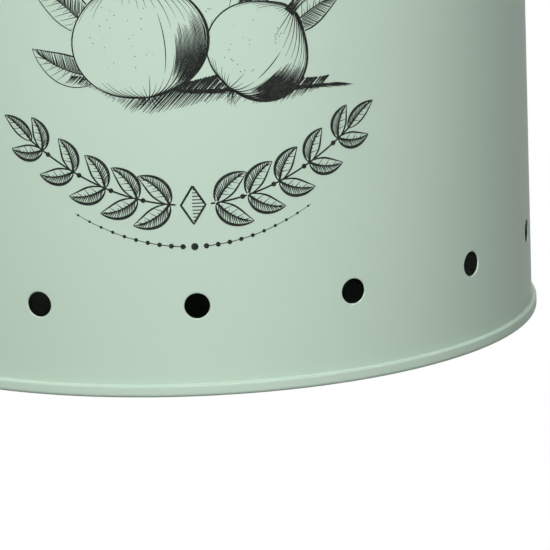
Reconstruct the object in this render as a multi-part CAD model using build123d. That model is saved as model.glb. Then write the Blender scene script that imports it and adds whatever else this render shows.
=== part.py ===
"""Round sheet-steel potato storage bin with a wooden lift-off lid and two drop handles.

The bin is built the way tinware is. A rolled cylinder is closed at the back by a folded lock
seam. Its bottom edge is double-seamed to a pressed base pan, and its top edge is curled over
a wire. A row of round air holes is pierced round the foot. Each side carries a bent strip
bracket on four rivets, a wire bail that swings in the bracket's ears, and a turned wooden
grip that turns on the bail. The lid is a wooden disc with a smaller plug disc under it and a
turned knob, drawn together by one screw.

Frame: +Z up, origin at the centre of the footprint on the table, front towards -Y, handles on
+X and -X. Millimetres throughout. Each piece is one STEP file in parts/.
"""
from build123d import *
from math import asin, atan2, cos, degrees, hypot, radians, sin, sqrt
import os

# ---- Driving dimensions -------------------------------------------------------------------

# Body sheet
body_diameter = 250.0  # outside of the rolled wall
body_height = 245.0  # table to the top of the curled rim
sheet = 0.5  # steel sheet of the wall and the base pan
fold_gap = 0.08  # lacquer gap between folded layers

# Curled rim
rim_wire_diameter = 3.2
rim_wire_clearance = 0.1  # all round the wire, inside the curl
curl_turn = 310.0  # degrees that the edge turns round the wire

# Double seam and base pan
seam_height = 4.4
seam_foot_radius = 0.9  # of the foot's inner corner; its outer corner follows the hooks
pan_height = 6.0  # table to the top of the pan's outer floor
pan_corner_radius = 2.0
pan_step_height = 1.5  # the pan's middle is pressed up by this much
pan_step_inset = 16.0  # from the chuck wall to the foot of the step
pan_step_run = 3.0  # sloping length of the step, measured flat
pan_step_radius = 2.0

# Air holes
vent_diameter = 8.8
vent_height = 31.7  # table to the hole centres
vent_divisions = 14  # equal divisions; the one on the lock seam is left unpierced
vent_edge_land = 0.05  # left flat between the mouth's rounding and the back of the sheet

# Lock seam at the back
lock_seam_width = 5.5
lock_seam_layers = 2  # extra layers inside the wall
lock_seam_end_gap = 2.5  # from the pan below and from the curl above
lock_groove_width = 0.5
lock_groove_depth = 0.2

# Handle bracket
bracket_span = 100.0  # over the outer faces of the two ears
bracket_strip = 1.5
bracket_height = 24.0
bracket_bend_radius = 1.5  # inside of the bend between plate and ear
bracket_wall_gap = 0.05
ear_end_radius = 6.0
pivot_height = 190.0
pivot_stand_off = 3.5  # wall to pivot axis, at the middle of the handle
pivot_clearance = 0.1  # round the wire in the ear's hole

# Rivets
rivet_diameter = 3.2
rivet_hole_clearance = 0.05
rivet_head_diameter = 7.0
rivet_head_height = 1.9
rivet_seat_gap = 0.05  # a flat head on the round plate
rivet_tail_diameter = 5.2
rivet_tail_height = 1.3
rivet_spread = 56.0  # across the handle, between the two columns
rivet_rows = 12.0  # between the upper and the lower row
burr_diameter = 8.5
burr_thickness = 0.8
burr_seat_gap = 0.1  # a flat burr on the hollow side of the wall

# Bail and grip
bail_wire = 4.0
bail_drop = 45.0  # pivot axis to grip axis
bail_bend_radius = 4.0  # of the wire's centreline
bail_side_gap = 0.8  # ear to the start of the bend
bail_head_diameter = 6.6
bail_head_thickness = 1.5
bail_head_edge_radius = 0.45
bail_head_gap = 0.3
grip_diameter = 17.0
grip_end_diameter = 12.5
grip_end_radius = 1.5
grip_end_gap = 1.0  # each end, to the start of the bail's bend
grip_clearance = 0.1  # round the wire
grip_ring_inset = 5.0  # each end, to the turned ring
grip_ring_width = 1.2  # of the round-nosed tool that cuts it
grip_ring_depth = 0.36
grip_rest_gap = 0.4  # to the wall when the handle hangs

# Lid
lid_overhang = 2.5  # past the outside of the curl
lid_thickness = 14.0
lid_edge_radius = 4.5
lid_under_chamfer = 1.0
lid_groove_inset = 26.0  # rim of the lid to the turned groove in its top
lid_groove_width = 2.4  # of the round-nosed tool that cuts it
lid_groove_depth = 0.72
lid_seat_gap = 0.3  # rim to the lid's underside
plug_thickness = 10.0
plug_clearance = 1.5  # past the lock seam
plug_chamfer = 2.0
glue_gap = 0.05

# Knob and its fixing
knob_diameter = 38.0
knob_height = 30.0
knob_foot_diameter = 24.0
knob_foot_edge = 2.2  # height of the foot's upright edge
knob_foot_chamfer = 0.8
knob_neck_diameter = 15.0
knob_neck_height = 9.0
knob_dome_height = 9.0  # from the widest line to the top
screw_diameter = 4.0
screw_engagement = 16.0  # into the knob
screw_head_diameter = 8.0
screw_head_height = 2.8
screw_head_round = 1.7
screw_tip_chamfer = 0.6
screw_bore_spare = 2.0  # depth of the bore past the screw's tip
recess_width = 1.1
recess_length = 4.4
recess_depth = 1.5
washer_diameter = 18.0
washer_thickness = 1.2
washer_chamfer = 0.36
thread_clearance = 0.05
screw_hole_clearance = 0.25

# Working allowances
cutter_overrun = 1.0  # how far a cutting tool runs past the material
same_place = 0.01  # points closer than this count as one

# ---- Sizes that follow --------------------------------------------------------------------

wall_outer = body_diameter / 2
wall_inner = wall_outer - sheet
wall_middle = wall_outer - sheet / 2

# Each layer of the double seam lies one fold further out, measured to its middle.
fold = sheet + fold_gap
chuck_wall = wall_middle - fold
pan_hook = wall_middle + fold
body_hook = wall_middle + 2 * fold
seam_wall = wall_middle + 3 * fold
seam_foot = sheet / 2
seam_bend = 2 * fold  # the pan's outer bend, round the turn of the body hook
body_turn = seam_foot + seam_bend  # centre height of both
pan_turn = seam_height - sheet / 2 - fold  # centre height of the pan hook's turn

curl_inner = rim_wire_diameter / 2 + rim_wire_clearance
curl_outer = curl_inner + sheet
curl_radius = wall_outer + curl_inner
curl_height = body_height - curl_outer
rim_outer = curl_radius + curl_outer
rim_underside = curl_height - curl_outer

lock_seam_inner = wall_inner - lock_seam_layers * sheet
vent_pitch = 360 / vent_divisions
vent_edge_radius = sheet - vent_edge_land

ear_outer = bracket_span / 2
ear_inner = ear_outer - bracket_strip
pivot_x = wall_outer + pivot_stand_off
leg_y = ear_inner - bail_side_gap - bail_bend_radius
grip_x = wall_outer + grip_rest_gap + grip_diameter / 2
hang_angle = degrees(asin((grip_x - pivot_x) / bail_drop))  # out from straight down

grip_length = 2 * (leg_y - bail_bend_radius - grip_end_gap)
lid_bottom = body_height + lid_seat_gap
lid_top = lid_bottom + lid_thickness
lid_radius = rim_outer + lid_overhang
plug_radius = lock_seam_inner - plug_clearance
plug_top = lid_bottom - glue_gap
plug_bottom = plug_top - plug_thickness
knob_bottom = lid_top + glue_gap
knob_crown_height = knob_height - knob_dome_height
washer_top = plug_bottom - glue_gap
screw_head_top = washer_top - washer_thickness - glue_gap

FRONT = -90.0  # direction of the front, in degrees round +Z from +X
SIDE_TURNS = {"right": 0.0, "left": 180.0}  # the handles are drawn on the right and turned
UPWARD = (Align.CENTER, Align.CENTER, Align.MIN)  # a disc or cylinder that stands on its origin
DOWNWARD = (Align.CENTER, Align.CENTER, Align.MAX)  # one that hangs below it


# ---- Helpers ------------------------------------------------------------------------------


def folded_sheet(centreline, thickness):
    """Section of a sheet that follows a centreline, with rounded edges at its two ends."""
    return make_face(offset(centreline, amount=thickness / 2).edges())


def spun(section):
    """Full turn about +Z of a section drawn in radius and height."""
    return revolve(Plane.XZ * section, axis=Axis.Z)


def at_wall(angle, height, radius):
    """Place on the wall with local Z pointing straight out, at an angle round +Z."""
    x = radius * cos(radians(angle))
    y = radius * sin(radians(angle))
    return Plane(
        origin=(x, y, height),
        x_dir=(-sin(radians(angle)), cos(radians(angle)), 0),
        z_dir=(cos(radians(angle)), sin(radians(angle)), 0),
    )


def dome_arc(radius, base, height):
    """Arc from the rim of a dome to its crown on the axis; a negative height hangs down."""
    ball = (radius**2 + height**2) / (2 * abs(height))
    half_way = asin(radius / ball) / 2
    up = height / abs(height)
    middle = (ball * sin(half_way), base + height - up * ball * (1 - cos(half_way)))
    return ThreePointArc((radius, base), middle, (0, base + height))


def ring_sector(inner, outer, angle, width, low, high):
    """Block between two radii, centred on an angle, with a width measured along the outside."""
    height = high - low
    ring = Cylinder(outer, height, align=UPWARD) - Cylinder(inner, height, align=UPWARD)
    keep = Box(outer + cutter_overrun, width, height, align=(Align.MIN, Align.CENTER, Align.MIN))
    return Pos(0, 0, low) * (ring & (Rot(Z=angle) * keep))


def drill(radius, length):
    """Cutting tool for a round hole, centred on its origin and longer than the material."""
    return Cylinder(radius, length + 2 * cutter_overrun)


def round_nose(width, depth):
    """Section of a round-nosed turning tool that has gone in below a surface at height 0."""
    return Pos(0, width / 2 - depth) * Circle(width / 2)


# ---- Bin body -----------------------------------------------------------------------------


def vent_angles():
    """Directions of the pierced air holes: every division but the one on the lock seam."""
    every = [FRONT + k * vent_pitch for k in range(vent_divisions)]
    seam = FRONT + 180
    return [a for a in every if abs((a - seam + 180) % 360 - 180) > vent_pitch / 2 - 1e-6]


def vent_mouths(shell):
    """Edges where the air holes open on the outside of the wall."""

    def is_mouth(edge):
        box = edge.bounding_box()
        reach = vent_diameter / 2 + same_place
        level = box.min.Z > vent_height - reach and box.max.Z < vent_height + reach
        outermost = max(hypot(p.X, p.Y) for p in (edge @ 0, edge @ (1 / 3), edge @ (2 / 3)))
        return level and edge.geom_type != GeomType.LINE and outermost > wall_outer - same_place

    return [edge for edge in shell.edges() if is_mouth(edge)]


def rivet_places():
    """Angle round +Z and height of the four rivets of the right-hand bracket."""
    turn = degrees(asin(rivet_spread / 2 / wall_outer))
    rows = (pivot_height - rivet_rows / 2, pivot_height + rivet_rows / 2)
    return [(side * turn, z) for side in (-1, 1) for z in rows]


def make_body_shell():
    """Rolled wall with its bottom hook, its curled rim, the lock seam and the air holes."""
    hook = Line((body_hook, pan_turn), (body_hook, body_turn))
    turn = CenterArc((pan_hook, body_turn), fold, 0, -180)
    wall = Line((wall_middle, body_turn), (wall_middle, curl_height))
    curl = CenterArc((curl_radius, curl_height), curl_inner + sheet / 2, 180, -curl_turn)
    shell = spun(folded_sheet(Wire([hook, turn, wall, curl]), sheet))

    seam_low = pan_height + lock_seam_end_gap
    seam_high = rim_underside - lock_seam_end_gap
    back = FRONT + 180
    shell += ring_sector(lock_seam_inner, wall_middle, back, lock_seam_width, seam_low, seam_high)
    groove_floor = wall_outer - lock_groove_depth
    groove_mouth = wall_outer + cutter_overrun
    groove_angle = back + degrees(lock_seam_width / 2 / wall_outer)
    shell -= ring_sector(
        groove_floor, groove_mouth, groove_angle, lock_groove_width, seam_height, rim_underside
    )

    punch = drill(vent_diameter / 2, 2 * sheet)
    for angle in vent_angles():
        shell -= at_wall(angle, vent_height, wall_outer) * punch
    shell = fillet(vent_mouths(shell), vent_edge_radius)

    hole = drill(rivet_diameter / 2 + rivet_hole_clearance, 2 * sheet)
    for side in SIDE_TURNS.values():
        for angle, height in rivet_places():
            shell -= at_wall(angle + side, height, wall_outer) * hole
    return shell


def make_base_pan():
    """Pressed base with a raised middle, hooked through the body's bottom fold."""
    step_foot = chuck_wall - pan_step_inset
    floor = pan_height - sheet / 2
    floor_to_seam = FilletPolyline(
        (0, floor + pan_step_height),
        (step_foot - pan_step_run, floor + pan_step_height),
        (step_foot, floor),
        (chuck_wall, floor),
        (chuck_wall, seam_foot),
        (seam_wall, seam_foot),
        (seam_wall, pan_turn),
        radius=[
            pan_step_radius,
            pan_step_radius,
            pan_corner_radius - sheet / 2,
            seam_foot_radius - sheet / 2,
            seam_bend,
        ],
    )
    over_the_hook = CenterArc((body_hook, pan_turn), fold, 0, 180)
    hook = Line((pan_hook, pan_turn), (pan_hook, body_turn))
    section = folded_sheet(Wire([*floor_to_seam.edges(), over_the_hook, hook]), sheet)
    past_axis = Rectangle(sheet, 2 * (pan_height + floor), align=(Align.MAX, Align.CENTER))
    return spun(section - past_axis)


def make_rim_wire():
    """Stiffening wire inside the curl."""
    return Pos(0, 0, curl_height) * Torus(curl_radius, rim_wire_diameter / 2)


# ---- Handles, drawn on the right side -----------------------------------------------------


def make_bracket():
    """Strip bent to the wall's curve, with two ears turned straight out for the bail."""
    plate_radius = wall_outer + bracket_wall_gap + bracket_strip / 2
    bend = bracket_bend_radius + bracket_strip / 2
    ear_middle = ear_outer - bracket_strip / 2
    bend_y = ear_middle - bend
    bend_x = sqrt((plate_radius + bend) ** 2 - bend_y**2)
    turn = degrees(atan2(bend_y, bend_x))
    strip = Wire(
        [
            CenterArc((bend_x, -bend_y), bend, -90, -(90 + turn)),
            CenterArc((0, 0), plate_radius, -turn, 2 * turn),
            CenterArc((bend_x, bend_y), bend, 180 + turn, -(90 + turn)),
        ]
    )
    low = pivot_height - bracket_height / 2
    bracket = extrude(Pos(0, 0, low) * folded_sheet(strip, bracket_strip), bracket_height)

    root = Pos(bend_x, pivot_height) * Rectangle(
        bracket_strip, bracket_height, align=(Align.MIN, Align.CENTER)
    )
    tip = Pos(pivot_x, pivot_height) * Circle(ear_end_radius)
    outline = make_hull([*root.edges(), *tip.edges()])
    for side in (-1, 1):
        ear = extrude(Plane.XZ * outline, bracket_strip / 2, both=True)
        bracket += Pos(0, side * ear_middle, 0) * ear
    bore = drill(bail_wire / 2 + pivot_clearance, bracket_span)
    bracket -= Pos(pivot_x, 0, pivot_height) * Rot(X=90) * bore
    hole = drill(rivet_diameter / 2 + rivet_hole_clearance, bracket_strip)
    for angle, height in rivet_places():
        bracket -= at_wall(angle, height, plate_radius) * hole
    return bracket


def make_rivets():
    """Four domed rivets through bracket, wall and burr, each tail peened over its burr."""
    head_seat = wall_outer + bracket_wall_gap + bracket_strip + rivet_seat_gap
    tail_seat = wall_inner - burr_seat_gap - burr_thickness - rivet_seat_gap
    head = dome_arc(rivet_head_diameter / 2, head_seat, rivet_head_height)
    tail = dome_arc(rivet_tail_diameter / 2, tail_seat, -rivet_tail_height)
    shank = Polyline(
        (rivet_tail_diameter / 2, tail_seat),
        (rivet_diameter / 2, tail_seat),
        (rivet_diameter / 2, head_seat),
        (rivet_head_diameter / 2, head_seat),
    )
    axis = Line(head @ 1, tail @ 1)
    one = spun(make_face([tail, *shank.edges(), head, axis]))
    return [at_wall(angle, height, 0) * one for angle, height in rivet_places()]


def make_rivet_burrs():
    """Four washers on the inside of the wall, one under each rivet's tail."""
    outside = wall_inner - burr_seat_gap
    disc = Cylinder(burr_diameter / 2, burr_thickness, align=DOWNWARD)
    disc -= drill(rivet_diameter / 2 + rivet_hole_clearance, 2 * burr_thickness)
    return [at_wall(angle, height, outside) * disc for angle, height in rivet_places()]


def hanging(piece):
    """Move a piece drawn about the pivot, legs straight down, to where the handle hangs."""
    return Pos(pivot_x, 0, pivot_height) * Rot(Y=-hang_angle) * piece


def make_bail():
    """Wire loop whose ends turn outward through the ears and are headed over."""
    pin_end = ear_outer + bail_head_gap + bail_head_thickness / 2
    path = FilletPolyline(
        (0, -pin_end, 0),
        (0, -leg_y, 0),
        (0, -leg_y, -bail_drop),
        (0, leg_y, -bail_drop),
        (0, leg_y, 0),
        (0, pin_end, 0),
        radius=bail_bend_radius,
    )
    start = Plane(origin=path @ 0, z_dir=path % 0)
    bail = sweep(start * Circle(bail_wire / 2), path=path)
    head = Cylinder(bail_head_diameter / 2, bail_head_thickness)
    head = fillet(head.edges(), bail_head_edge_radius)
    for side in (-1, 1):
        bail += Pos(0, side * pin_end, 0) * Rot(X=90) * head
    return hanging(bail)


def make_grip():
    """Turned barrel grip with a ring cut near each end, bored for the bail."""
    half = grip_length / 2
    bore = bail_wire / 2 + grip_clearance
    bulge = ThreePointArc(
        (grip_end_diameter / 2, -half), (grip_diameter / 2, 0), (grip_end_diameter / 2, half)
    )
    sides = Polyline(bulge @ 1, (bore, half), (bore, -half), bulge @ 0)
    section = make_face([bulge, *sides.edges()])
    rims = [v for v in section.vertices() if v.X > bore + same_place]
    section = fillet(rims, grip_end_radius)
    for side in (-1, 1):
        at = side * (half - grip_ring_inset)
        share = 1 - (at / half) ** 2
        radius = grip_end_diameter / 2 + (grip_diameter - grip_end_diameter) / 2 * share
        section -= Pos(radius, at) * Rot(Z=-90) * round_nose(grip_ring_width, grip_ring_depth)
    grip = revolve(section, axis=Axis.Y)
    return hanging(Pos(0, 0, -bail_drop) * grip)


# ---- Lid ----------------------------------------------------------------------------------


def screw_hole(low, high):
    """Clearance hole for the knob screw between two heights."""
    middle = (low + high) / 2
    return Pos(0, 0, middle) * drill(screw_diameter / 2 + screw_hole_clearance, high - low)


def make_lid_panel():
    """Round wooden lid with a rounded rim and one turned groove in its top."""
    blank = Rectangle(lid_radius, lid_thickness, align=Align.MIN)
    outer = blank.vertices().group_by(Axis.X)[-1].sort_by(Axis.Y)
    blank = fillet(outer[-1], lid_edge_radius)
    lower = blank.vertices().group_by(Axis.Y)[0].sort_by(Axis.X)[-1]
    blank = chamfer(lower, lid_under_chamfer)
    groove = round_nose(lid_groove_width, lid_groove_depth)
    blank -= Pos(lid_radius - lid_groove_inset, lid_thickness) * groove
    return Pos(0, 0, lid_bottom) * spun(blank) - screw_hole(lid_bottom, lid_top)


def make_lid_plug():
    """Wooden disc under the lid that drops inside the rim."""
    plug = Pos(0, 0, plug_bottom) * Cylinder(plug_radius, plug_thickness, align=UPWARD)
    plug = chamfer(plug.edges().sort_by(Axis.Z)[0], plug_chamfer)
    return plug - screw_hole(plug_bottom, plug_top)


def make_lid_knob():
    """Turned knob: an upright foot, a hollow cove, a rounded edge and a domed crown."""
    foot = knob_foot_diameter / 2
    neck = knob_neck_diameter / 2
    crown = knob_diameter / 2

    # Cove: from the foot, upright where it is thinnest.
    foot_rise = knob_neck_height - knob_foot_edge
    cove = ((foot - neck) ** 2 + foot_rise**2) / (2 * (foot - neck))
    cove_axis = neck + cove
    # Edge: touches the cove, and is upright at the widest line.
    reach = crown - cove_axis
    rise = knob_crown_height - knob_neck_height
    edge = (reach**2 + rise**2 - cove**2) / (2 * (cove + reach))
    edge_axis = crown - edge
    # Dome: touches the edge, with its centre on the knob's axis.
    dome = (edge_axis**2 + knob_dome_height**2 - edge**2) / (2 * (knob_dome_height - edge))
    dome_centre = knob_height - dome

    def towards(start, end, distance):
        """Point at a distance from one point in the direction of another."""
        share = distance / hypot(end[0] - start[0], end[1] - start[1])
        return tuple(a + (b - a) * share for a, b in zip(start, end))

    cove_centre = (cove_axis, knob_neck_height)
    edge_centre = (edge_axis, knob_crown_height)
    cove_end = towards(cove_centre, edge_centre, cove)
    edge_end = towards((0, dome_centre), edge_centre, dome)
    half_way = towards((0, dome_centre), (edge_end[0] / 2, (edge_end[1] + knob_height) / 2), dome)
    base = Polyline(
        (0, 0),
        (foot - knob_foot_chamfer, 0),
        (foot, knob_foot_chamfer),
        (foot, knob_foot_edge),
    )
    profile = [
        *base.edges(),
        ThreePointArc(base @ 1, (neck, knob_neck_height), cove_end),
        ThreePointArc(cove_end, (crown, knob_crown_height), edge_end),
        ThreePointArc(edge_end, half_way, (0, knob_height)),
        Line((0, knob_height), (0, 0)),
    ]
    knob = Pos(0, 0, knob_bottom) * spun(make_face(profile))
    bore_depth = screw_engagement + screw_bore_spare
    bore = Cylinder(screw_diameter / 2 + thread_clearance, bore_depth + cutter_overrun, align=UPWARD)
    return knob - Pos(0, 0, knob_bottom - cutter_overrun) * bore


def make_knob_screw():
    """Cross-recessed pan-head screw driven up through washer, plug and lid into the knob."""
    tip = knob_bottom + screw_engagement
    shank = Cylinder(screw_diameter / 2, tip - screw_head_top, align=UPWARD)
    shank = chamfer(shank.edges().sort_by(Axis.Z)[-1], screw_tip_chamfer)
    head = Cylinder(screw_head_diameter / 2, screw_head_height, align=DOWNWARD)
    head = fillet(head.edges().sort_by(Axis.Z)[0], screw_head_round)
    screw = shank + head
    slot = Pos(0, 0, -screw_head_height) * Box(recess_length, recess_width, 2 * recess_depth)
    screw -= slot
    screw -= Rot(Z=90) * slot
    return Pos(0, 0, screw_head_top) * screw


def make_knob_washer():
    """Washer that spreads the screw head's pull over the plug."""
    disc = Cylinder(washer_diameter / 2, washer_thickness, align=DOWNWARD)
    disc = chamfer(disc.edges().sort_by(Axis.Z)[0], washer_chamfer)
    disc -= drill(screw_diameter / 2 + screw_hole_clearance, 2 * washer_thickness)
    return Pos(0, 0, washer_top) * disc


# ---- Output -------------------------------------------------------------------------------


def save(name, shape):
    """Write one piece, or a group of like pieces, to its STEP file."""
    whole = Compound(children=list(shape)) if isinstance(shape, list) else shape
    export_step(whole, f"parts/{name}.step")


if __name__ == "__main__":
    os.makedirs("parts", exist_ok=True)
    save("body_shell", make_body_shell())
    save("base_pan", make_base_pan())
    save("rim_wire", make_rim_wire())
    handle = {
        "bracket": [make_bracket()],
        "rivets": make_rivets(),
        "rivet_burrs": make_rivet_burrs(),
        "bail": [make_bail()],
        "grip": [make_grip()],
    }
    for side, turn in SIDE_TURNS.items():
        for name, solids in handle.items():
            placed = [Rot(Z=turn) * solid for solid in solids]
            save(f"{side}_{name}", placed if len(placed) > 1 else placed[0])
    save("lid_panel", make_lid_panel())
    save("lid_plug", make_lid_plug())
    save("lid_knob", make_lid_knob())
    save("knob_screw", make_knob_screw())
    save("knob_washer", make_knob_washer())
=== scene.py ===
"""Round sage green potato bin: seamed and wired tinware, drop handles and a wooden lid.

Every size is in millimetres, in the frame of the solids: +Z up, the front towards -Y and the
origin at the centre of the foot. Meshes are scaled to metres as they are made.
"""
import logging
import math
import random
from dataclasses import dataclass, field
from enum import Enum
from typing import Callable, Iterable, Optional, Sequence

import bmesh
import bpy
from mathutils import Matrix, Vector


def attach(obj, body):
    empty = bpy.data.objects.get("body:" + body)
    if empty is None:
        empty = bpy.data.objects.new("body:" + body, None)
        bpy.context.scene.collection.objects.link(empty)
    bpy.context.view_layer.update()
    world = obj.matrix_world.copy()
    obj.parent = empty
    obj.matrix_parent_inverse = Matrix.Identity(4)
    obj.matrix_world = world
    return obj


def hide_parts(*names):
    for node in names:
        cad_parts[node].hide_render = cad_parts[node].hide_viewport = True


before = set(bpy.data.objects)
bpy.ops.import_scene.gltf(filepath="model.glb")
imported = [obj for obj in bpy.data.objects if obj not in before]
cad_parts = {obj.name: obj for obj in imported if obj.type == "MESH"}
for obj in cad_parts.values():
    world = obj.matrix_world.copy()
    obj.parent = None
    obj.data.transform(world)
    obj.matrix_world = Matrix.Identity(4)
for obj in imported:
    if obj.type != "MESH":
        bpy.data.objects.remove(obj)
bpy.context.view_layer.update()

log = logging.getLogger("potato_bin")

MM = 0.001
WELD = 2e-7  # metres between two points that are made one
SLIVER = 1e-8  # metres of the longest edge that is dissolved
Point2 = tuple[float, float]
Point3 = tuple[float, float, float]
Colour = tuple[float, float, float]
Width = float | Callable[[float], float]
Node = bpy.types.Node
Socket = int | str


def polar(radius: float, angle: float, height: float) -> Point3:
    """A point by its radius, its angle in degrees round +Z from +X, and its height."""
    turn = math.radians(angle)
    return (radius * math.cos(turn), radius * math.sin(turn), height)


def blend(low: float, high: float, share: float) -> float:
    """The value that lies a given share of the way from low to high."""
    return low + (high - low) * share


def evenly(steps: int) -> list[float]:
    """Shares from 0 to 1 in even steps, both ends included."""
    return [k / steps for k in range(steps + 1)]


def full_turn(steps: int) -> list[float]:
    """Evenly spaced angles of a full turn, in radians."""
    return [2 * math.pi * k / steps for k in range(steps)]


def arc(centre: Point2, radius: float, first: float, last: float, steps: int) -> list[Point2]:
    """Points of an arc after its first.

    Args:
        centre: the arc's centre.
        radius: its radius.
        first: the angle where it starts, in degrees.
        last: the angle where it ends.
        steps: how many chords it takes.

    Returns:
        One point for each chord's end.
    """
    turns = [math.radians(blend(first, last, share)) for share in evenly(steps)[1:]]
    return [(centre[0] + radius * math.cos(t), centre[1] + radius * math.sin(t)) for t in turns]


# ---- Meshes --------------------------------------------------------------------------------


class Draft:
    """A mesh in millimetres, gathered patch by patch and made into one object at the end."""

    def __init__(self) -> None:
        """Start with nothing drawn."""
        self.points: list[Point3] = []
        self.faces: list[tuple[int, ...]] = []

    def add(self, points: Iterable[Point3], faces: Iterable[Sequence[int]]) -> None:
        """Add points and the faces among them.

        Args:
            points: the new points.
            faces: corner numbers, counted from the first new point.
        """
        start = len(self.points)
        self.points.extend(points)
        self.faces.extend(tuple(start + k for k in face) for face in faces)

    def grid(
        self, rows: Sequence[Sequence[Point3]], around: bool = False, along: bool = False
    ) -> None:
        """Add a net of four-sided faces.

        Args:
            rows: the net's rows, all of one length.
            around: close each row on itself.
            along: join the last row to the first.
        """
        width = len(rows[0])
        last_row = len(rows) if along else len(rows) - 1
        last_step = width if around else width - 1
        faces = [
            (
                r * width + s,
                r * width + (s + 1) % width,
                ((r + 1) % len(rows)) * width + (s + 1) % width,
                ((r + 1) % len(rows)) * width + s,
            )
            for r in range(last_row)
            for s in range(last_step)
        ]
        self.add([point for row in rows for point in row], faces)

    def turned(self, outline: Sequence[Point2], steps: int, closed: bool = True) -> None:
        """Add a full turn of an outline about +Z.

        Args:
            outline: radius and height of each point.
            steps: how many columns the turn takes.
            closed: join the outline's last point to its first.
        """
        rows = [[polar(r, 360 * k / steps, z) for r, z in outline] for k in range(steps)]
        self.grid(rows, around=closed, along=True)

    def tube(self, path: Sequence[Point3], radius: float, sides: int = 20) -> None:
        """Add a round wire with closed ends along a path that stays in one plane.

        Args:
            path: the points of its middle line.
            radius: half its thickness.
            sides: how many faces go round it.
        """
        line = [Vector(p) for p in path]
        normal = (line[1] - line[0]).cross(line[-1] - line[0])
        for a, b, c in zip(line, line[1:], line[2:]):
            if (b - a).cross(c - b).length > normal.length:
                normal = (b - a).cross(c - b)
        normal = normal.normalized() if normal.length > 1e-9 else Vector((0, 0, 1))
        rows = []
        for k, point in enumerate(line):
            ahead = (line[min(k + 1, len(line) - 1)] - point).normalized()
            behind = (point - line[max(k - 1, 0)]).normalized()
            side = (ahead + behind).normalized().cross(normal)
            turns = full_turn(sides)
            ring = [point + radius * (math.cos(t) * side + math.sin(t) * normal) for t in turns]
            rows.append([tuple(p) for p in ring])
        self.grid(rows, around=True)
        self.add(rows[0], [tuple(range(sides))])
        self.add(rows[-1], [tuple(range(sides))])

    def moved(self, matrix: Matrix) -> "Draft":
        """This draft with all its points moved by a matrix."""
        copy = Draft()
        copy.add([tuple(matrix @ Vector(p)) for p in self.points], self.faces)
        return copy

    def join(self, other: "Draft") -> None:
        """Add everything that another draft holds."""
        self.add(other.points, other.faces)

    def finish(self, name: str, finish: "Finish", crease: float = 32.0) -> bpy.types.Object:
        """Weld the draft and make it an object.

        Args:
            name: the piece's name.
            finish: what it is coated with or made of.
            crease: angle in degrees above which an edge stays sharp.

        Returns:
            The new object, at the origin and in metres.
        """
        mesh = bpy.data.meshes.new(name)
        mesh.from_pydata([tuple(c * MM for c in p) for p in self.points], [], self.faces)
        work = bmesh.new()
        work.from_mesh(mesh)
        bmesh.ops.remove_doubles(work, verts=work.verts, dist=WELD)
        bmesh.ops.dissolve_degenerate(work, edges=work.edges, dist=SLIVER)
        bmesh.ops.recalc_face_normals(work, faces=work.faces)
        work.to_mesh(mesh)
        work.free()
        mesh.polygons.foreach_set("use_smooth", [True] * len(mesh.polygons))
        mesh.set_sharp_from_angle(angle=math.radians(crease))
        mesh.materials.append(finish.material())
        piece = bpy.data.objects.new(name, mesh)
        bpy.context.scene.collection.objects.link(piece)
        return piece


class SheetLine:
    """The middle line of a folded sheet, drawn like a walk: straight on, or round a bend."""

    def __init__(self, radius: float, height: float, heading: float) -> None:
        """Start the walk.

        Args:
            radius: the first point's distance from the bin's axis.
            height: its height.
            heading: the way that the walk faces, in degrees from straight out.
        """
        self.stations: list[tuple[float, float, float]] = [(radius, height, heading)]

    def straight(self, length: float) -> "SheetLine":
        """Go straight on."""
        r, z, heading = self.stations[-1]
        turn = math.radians(heading)
        self.stations.append((r + length * math.cos(turn), z + length * math.sin(turn), heading))
        return self

    def bend(self, radius: float, turn: float, steps: int = 10) -> "SheetLine":
        """Go round a bend.

        Args:
            radius: the bend's radius.
            turn: degrees, to the left if positive.
            steps: how many chords the bend takes.

        Returns:
            This line, for the next step of the walk.
        """
        r, z, heading = self.stations[-1]
        side = math.copysign(90, turn)
        centre_r = r + radius * math.cos(math.radians(heading + side))
        centre_z = z + radius * math.sin(math.radians(heading + side))
        for k in range(1, steps + 1):
            now = heading + turn * k / steps
            back = math.radians(now - side)
            self.stations.append(
                (centre_r + radius * math.cos(back), centre_z + radius * math.sin(back), now)
            )
        return self

    def side(self, offset: float) -> list[Point2]:
        """The line moved sideways, to the left if positive."""
        return [
            (r - offset * math.sin(math.radians(h)), z + offset * math.cos(math.radians(h)))
            for r, z, h in self.stations
        ]

    def rounded_end(self, thickness: float, at_start: bool, steps: int = 6) -> list[Point2]:
        """The half round that closes the sheet at one of its cut edges.

        Args:
            thickness: of the sheet.
            at_start: at the line's first station, and not its last.
            steps: how many chords the half round takes.

        Returns:
            The points between the two sides, without the sides' own.
        """
        r, z, heading = self.stations[0 if at_start else -1]
        first = heading + 90 if at_start else heading - 90
        return arc((r, z), thickness / 2, first, first + 180, steps)[:-1]


# ---- Finishes ------------------------------------------------------------------------------


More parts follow.
